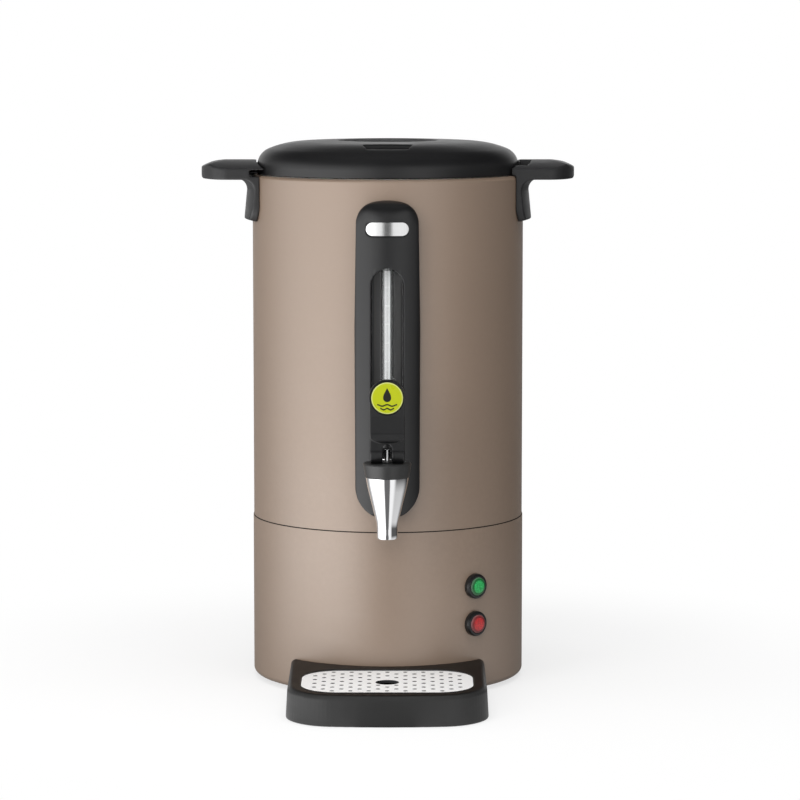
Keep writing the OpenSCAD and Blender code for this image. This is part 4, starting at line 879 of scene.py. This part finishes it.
# --- Tap ---
# A turned brass body, polished and chromed: the trumpet-shaped spout, its side shank with
# two collars, and the boss that feeds the gauge. A black bonnet screws on top.

TAP_Y = -0.158                          # the tap's upright axis, in metres
SHANK_Z = 0.177                         # its shank's axis, in metres
TAP = Matrix.Translation((0.0, TAP_Y, 0.0))
SPOUT_LOW, SPOUT_TOP = 138.0, 186.8     # millimetres above the table


def mm(points):
    """Radius and height pairs in millimetres as metres."""
    return [(r * 0.001, h * 0.001) for r, h in points]


ROUND_STEPS = 4


def eased(points, radius):
    """A closed outline with each corner rounded off, apart from those on the axis."""
    out = []
    count = len(points)
    for k in range(count):
        before, here, after = (Vector(points[(k + j) % count]) for j in (-1, 0, 1))
        one, two = before - here, after - here
        if (here.x < 1e-6 or one.length < 1e-9 or two.length < 1e-9
                or one.angle(two) > math.radians(165)):
            out.append(tuple(here))
            continue
        half = one.angle(two) / 2.0
        cut = min(radius / math.tan(half), one.length * 0.45, two.length * 0.45)
        start, stop = here + one.normalized() * cut, here + two.normalized() * cut
        for j in range(ROUND_STEPS + 1):
            t = j / ROUND_STEPS
            out.append(tuple(start * (1 - t) ** 2 + here * 2 * t * (1 - t) + stop * t * t))
    return out


def turn(bm, outline, place, sides=128):
    """Turns a closed outline of radius and height round an axis, as on a lathe."""
    rings = []
    for radius, height in outline:
        if radius < 1e-7:
            rings.append([bm.verts.new(place @ Vector((0.0, 0.0, height)))])
        else:
            angles = [math.tau * k / sides for k in range(sides)]
            rings.append([bm.verts.new(place @ Vector((radius * math.cos(a), radius * math.sin(a),
                                                       height))) for a in angles])
    for low, high in zip(rings, rings[1:] + rings[:1]):
        if len(low) == 1 and len(high) == 1:
            continue
        for k in range(sides):
            n = (k + 1) % sides
            if len(low) == 1:
                bm.faces.new((low[0], high[n], high[k]))
            elif len(high) == 1:
                bm.faces.new((low[k], low[n], high[0]))
            else:
                bm.faces.new((low[k], low[n], high[n], high[k]))


def spout_flank():
    """The spout's outside from its end up: straight neck, hollow curve, cone, swelling."""
    flare = math.radians(14.0)              # the cone's slope
    curl, swell = 28.0, 88.0                # radii of the hollow and of the swelling
    neck_r, neck_z = 8.2, SPOUT_LOW + 7.6
    cone_r0, cone_z0 = neck_r + curl * (1 - math.cos(flare)), neck_z + curl * math.sin(flare)
    cone_z1 = SPOUT_TOP - 10.8
    cone_r1 = cone_r0 + (cone_z1 - cone_z0) * math.tan(flare)
    end = math.asin(math.sin(flare) - (SPOUT_TOP - cone_z1) / swell)
    points = [(neck_r, SPOUT_LOW + 1.2), (neck_r, SPOUT_LOW + 4.0)]
    for k in range(25):
        a = flare * k / 24
        points.append((neck_r + curl * (1 - math.cos(a)), neck_z + curl * math.sin(a)))
    for k in range(1, 21):
        a = flare + (end - flare) * k / 20
        points.append((cone_r1 + swell * (math.cos(a) - math.cos(flare)),
                       cone_z1 + swell * (math.sin(flare) - math.sin(a))))
    return points


def chrome(name):
    """Polished chrome with only the faintest haze and wiped smears."""
    finish, tree, shader = new_finish(name, srgb(244, 244, 245), 0.05, 1.0)
    dust = place_group(tree, DUST, Dust=0.02, Smears=0.6)
    cloud = noise(tree, place_of(tree), 60.0, 3.0)
    join(tree, tinted(tree, times(tree, cloud, 0.12), srgb(244, 244, 245), srgb(226, 227, 230)),
         shader.inputs["Base Color"])
    smears = plus(tree, 0.03, times(tree, dust["Smear mask"], 0.05))
    join(tree, plus(tree, times(tree, cloud, 0.05), smears), shader.inputs["Roughness"])
    return finish


polished = chrome("polished_chrome")
blued = steel("blued_steel_pin", srgb(84, 84, 86), 0.30, (900.0, 900.0, 900.0), 0.000004)
dress(polished, "tap_stem")
dress(blued, "lever_pin")


COLLARS = (30.9, 42.7)   # where on the shank they begin, in millimetres from the tap's axis


def make_tap_body():
    """The spout with its bore and valve chamber, the shank, its collars and the gauge's boss."""
    bm = bmesh.new()
    inside = [(14.4, SPOUT_TOP), (14.4, 192.0), (11.4, 192.0), (11.4, 169.4), (5.9, 169.4),
              (5.9, 166.0), (6.3, 165.4), (6.3, 138.6), (7.0, SPOUT_LOW), (7.6, SPOUT_LOW)]
    turn(bm, mm(spout_flank() + inside), TAP, 160)
    along = (Matrix.Translation((0.0, TAP_Y, SHANK_Z))
             @ Matrix.Rotation(math.radians(-90.0), 4, "X"))
    turn(bm, eased(mm([(9.0, 11.8), (9.0, 62.0), (6.2, 62.0), (6.2, 11.8)]), 0.0004), along)
    for near in COLLARS:
        far = near + 1.7
        turn(bm, eased(mm([(9.0, near), (13.4, near), (13.4, far), (9.0, far)]), 0.0004), along)
    boss = [(3.0, 5.5), (6.4, 5.5), (6.4, 24.0), (5.4, 24.0), (5.4, 22.8), (3.0, 22.8)]
    turn(bm, eased(mm(boss), 0.0003), Matrix.Translation((0.0, -0.1215, SHANK_Z)), 64)
    make_piece("tap_body_casting", bm, polished, "urn", "polished_steel", "tap_body")


def make_bonnet():
    """The black collar round the lifting rod."""
    bm = bmesh.new()
    outline = [(2.26, 198.6), (2.26, 193.7), (14.55, 193.7), (14.55, 187.0), (17.2, 187.0),
               (19.0, 197.0), (18.6, 198.1), (4.4, 198.1), (3.9, 198.6)]
    turn(bm, eased(mm(outline), 0.0007), TAP)
    skin = moulded_skin("black_bonnet_skin", srgb(52, 52, 52), 0.42)
    make_piece("bonnet_moulding", bm, skin, "urn", "black_plastic", "tap_bonnet")


make_tap_body()
make_bonnet()

# --- Valve spring ---
# A compression spring of drawn steel wire, wound round the lifting rod between the valve cup
# and the bonnet. It closes up as the lever lifts the cup.


WIRE_SIDES = 10
STEPS_A_TURN = 32


def wind_spring(turns, radius, wire):
    """Winds a round wire, sizes in metres, between the ends of the spring's place."""
    low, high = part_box("tap_spring")
    axis_x, axis_y = (low[0] + high[0]) / 2, (low[1] + high[1]) / 2
    foot, head = low[2] + wire, high[2] - wire
    round_wire = [math.tau * side / WIRE_SIDES for side in range(WIRE_SIDES)]
    bm = bmesh.new()
    rings = []
    steps = STEPS_A_TURN * turns
    for step in range(steps + 1):
        angle = math.tau * turns * step / steps
        out = Vector((math.cos(angle), math.sin(angle), 0.0))
        middle = Vector((axis_x, axis_y, foot + (head - foot) * step / steps)) + out * radius
        rings.append([bm.verts.new(middle + out * wire * math.cos(a)
                                   + Vector((0.0, 0.0, wire * math.sin(a))))
                      for a in round_wire])
    for first, second in zip(rings, rings[1:]):
        for side in range(WIRE_SIDES):
            bm.faces.new((first[side], first[side - 1], second[side - 1], second[side]))
    bm.faces.new(rings[0])
    bm.faces.new(rings[-1])
    spring = make_piece("valve_spring", bm, plain_steel, "urn", "steel", "tap_spring")
    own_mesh(spring)


wind_spring(5, 0.0042, 0.0005)

# --- Tap lever ---
# A black moulded lever on a cross pin through the stem's head. Its head holds a lime disc
# under clear resin with a dark rim, printed with a drop over two ripples.

press("tap_lever_moulding", "tap_lever", 0.0004, 5, 0.6, satin_skin, "lever")

DISC = Matrix.Translation((0.0, -0.1705, 0.2504)) @ Matrix.Rotation(math.radians(90.0), 4, "X")
INK = (0.00042, 0.00052)   # from and to which height over the disc's face the ink lies


def distance_to(tree, point):
    """How far the place that is being shaded is from a point."""
    node = tree.nodes.new("ShaderNodeVectorMath")
    node.operation = "DISTANCE"
    join(tree, place_of(tree), node.inputs[0])
    node.inputs[1].default_value = tuple(point)
    return node.outputs["Value"]


def lime_face_painted_highlight():
    """Lime ink under a clear doming, with a painted highlight: a pale ring painted near the
    disc's edge.
    """
    finish = enamel("lime_ink_painted_highlight", srgb(200, 210, 24), 0.30, 0.10)
    tree = finish.node_tree
    reach = distance_to(tree, DISC @ Vector((0.0, 0.0, 0.0003)))
    # Painted highlight: a pale ring near the disc's edge
    rim_painted_highlight = times(tree, stretch(tree, reach, 0.0111, 0.0121, 0.0, 0.6, True),
                 stretch(tree, reach, 0.0122, 0.0125, 1.0, 0.3, True))
    return overprint(finish, rim_painted_highlight, srgb(240, 244, 176))


black_ink = enamel("black_ink", srgb(24, 26, 16), 0.35, 0.10)


def flat_shape(bm, outline):
    """A thin printed shape on the disc from a closed outline."""
    lower, upper = ([bm.verts.new(DISC @ Vector((x, y, height))) for x, y in outline]
                    for height in INK)
    bm.faces.new(lower)
    bm.faces.new(upper)
    for k in range(len(outline)):
        n = (k + 1) % len(outline)
        bm.faces.new((lower[k], lower[n], upper[n], upper[k]))


def make_disc():
    """The lime disc with its low crown, in its dark ring."""
    bm = bmesh.new()
    crown = [(0.0, -0.85), (12.4, -0.85), (12.4, 0.05)]
    crown += [(12.4 - 0.5 * (1 - math.cos(a)), 0.05 + 0.36 * math.sin(a))
              for a in (math.pi / 2 * k / 6 for k in range(1, 7))]
    crown += [(11.9 * (1 - k / 8), 0.41 + 0.05 * (1 - (1 - k / 8) ** 2)) for k in range(1, 9)]
    turn(bm, mm(crown), DISC)
    make_piece("lever_disc_lime", bm, lime_face_painted_highlight(), "lever", "lime_print", "lever_disc")
    bm = bmesh.new()
    ring = [(12.45, -0.85), (13.0, -0.85), (13.0, 0.30), (12.45, 0.30)]
    turn(bm, eased(mm(ring), 0.00015), DISC)
    make_piece("lever_disc_ring", bm, black_ink, "lever", "black_gloss")


def make_print():
    """A drop and two ripples in black ink."""
    bm = bmesh.new()
    drop = []
    for k in range(41):
        a = math.tau * k / 40
        drop.append((0.0044 * math.sin(a) * math.sin(a / 2) ** 1.4,
                     0.0026 + 0.0055 * math.cos(a)))
    flat_shape(bm, drop[:-1])
    for low, reach in ((-0.0050, 0.0078), (-0.0079, 0.0054)):
        upper = [(reach * (k / 12 - 1), low + 0.0006 * math.cos(math.tau * k / 12))
                 for k in range(25)]
        flat_shape(bm, upper + [(x, y - 0.0011) for x, y in reversed(upper)])
    make_piece("lever_disc_print", bm, black_ink, "lever", "black_gloss")


make_disc()
make_print()

# --- Lamps ---
# Two neon indicator lamps, green over red, in round black bezels. Each lens is a moulded cap
# with a painted highlight as its paler, greyer rim and, inside it, a prism pattern over the neon.

LAMP_TURN = math.radians(39.0)
GREEN_HEIGHT, RED_HEIGHT = 0.0881, 0.0574   # metres above the table


def lamp_axis(height):
    """The frame of one lamp: its own Z points straight out of the casing's wall."""
    return (Matrix.Rotation(LAMP_TURN, 4, "Z") @ Matrix.Translation((0.0, -0.112, height))
            @ Matrix.Rotation(math.radians(90.0), 4, "X"))


def make_bezels():
    """The two bezels with their rolled rims."""
    bm = bmesh.new()
    roll = [(10.2 - 2.2 * (1 - math.cos(a)), 2.0 + 2.6 * math.sin(a))
            for a in (math.pi / 2 * k / 10 for k in range(1, 11))]
    outline = ([(5.9, -14.0), (7.4, -14.0), (7.4, -0.7), (10.2, -0.7), (10.2, 2.0)] + roll
               + [(7.75, 4.5), (7.6, 4.2), (7.6, 1.6), (5.9, 1.6)])
    for height in (GREEN_HEIGHT, RED_HEIGHT):
        turn(bm, mm(outline), lamp_axis(height), 96)
    make_piece("lamp_bezel_rings", bm, satin_skin, "urn", "black_gloss", "lamp_bezels")


def lens(name, colour, bright, height):
    """A coloured prism lens over a lit neon, with a painted highlight in a paler, greyer rim."""
    finish, tree, shader = new_finish(name, colour, 0.16, IOR=1.49, Emission_Strength=0.22)
    reach = distance_to(tree, lamp_axis(height) @ Vector((0.0, 0.0, 0.0055)))
    cells = tree.nodes.new("ShaderNodeTexVoronoi")
    cells.inputs["Scale"].default_value = 900.0
    join(tree, place_of(tree), cells.inputs["Vector"])
    spots = stretch(tree, cells.outputs["Distance"], 0.1, 0.7, 1.0, 0.35)
    middle = stretch(tree, reach, 0.0047, 0.0056, 1.0, 0.0, True)
    # Painted highlight: the lens's rim is painted paler and greyer
    lens_rim_highlight = stretch(tree, reach, 0.0062, 0.0074, 0.0, 1.0, True)
    skin = tinted(tree, times(tree, middle, spots), colour, bright)
    skin = tinted(tree, times(tree, lens_rim_highlight, 0.55), skin,
                  tuple(0.5 * c + 0.16 for c in colour[:3]) + (1.0,))
    join(tree, skin, shader.inputs["Base Color"])
    join(tree, tinted(tree, middle, (0.0, 0.0, 0.0, 1.0), skin), shader.inputs["Emission Color"])
    bumped(tree, shader, cells.outputs["Distance"], 0.00012, 0.4)
    return finish


def make_lens(name, finish, height, slot, node):
    """One lens with its domed face."""
    bm = bmesh.new()
    dome = [(7.5 * math.cos(a) ** 0.6, 4.3 + 1.6 * math.sin(a))
            for a in (math.pi / 2 * k / 16 for k in range(16))]
    outline = [(0.0, 2.4), (5.6, 2.4), (5.6, 1.7), (7.5, 1.7)] + dome + [(0.0, 5.9)]
    turn(bm, mm(outline), lamp_axis(height), 72)
    make_piece(name, bm, finish, "urn", slot, node)


make_bezels()
green = lens("green_prism_cap_painted_highlight", srgb(22, 104, 52), srgb(62, 196, 108), GREEN_HEIGHT)
make_lens("green_lens_cap", green, GREEN_HEIGHT, "green_glass", "green_lens")
red = lens("red_prism_cap_painted_highlight", srgb(128, 44, 46), srgb(206, 54, 56), RED_HEIGHT)
make_lens("red_lens_cap", red, RED_HEIGHT, "red_glass", "red_lens")

# --- Drip tray ---
# A black moulded tray that follows the base's curve and slides out to the front, with a
# perforated plate of blasted steel lying in it.


def make_tray_skin_painted_shade():
    """The tray's mould skin, with painted shade: its level faces are painted darker."""
    finish = moulded_skin("black_tray_skin_painted_shade", srgb(46, 46, 46), 0.48, 1500.0, 0.00005)
    tree = finish.node_tree
    # Painted shade: faces that look up are painted near black
    level = stretch(tree, upward(tree), 0.7, 0.97, 0.0, 1.0, True)
    return overprint(finish, level, srgb(12, 12, 12))


press("drip_tray_moulding", "drip_tray", 0.0006, 8, 0.4, make_tray_skin_painted_shade(), "tray")


def punched_painted_shade():
    """The plate's finish, with painted shade: the walls of its punched holes are painted dark."""
    finish = steel("blasted_steel_punched_painted_shade", srgb(252, 252, 252), 0.55, (1400.0, 1400.0, 1400.0),
                   0.000008, 0.10)
    tree = finish.node_tree
    # Painted shade: faces that look sideways, the holes' walls, are painted dark grey
    facing = reckon(tree, "ABSOLUTE", upward(tree, "True Normal"))
    return overprint(finish, stretch(tree, facing, 0.4, 0.7, 1.0, 0.0), srgb(52, 52, 53))


dress(punched_painted_shade(), "drip_plate")

# --- Brings the scene up to date ---
bpy.context.view_layer.update()
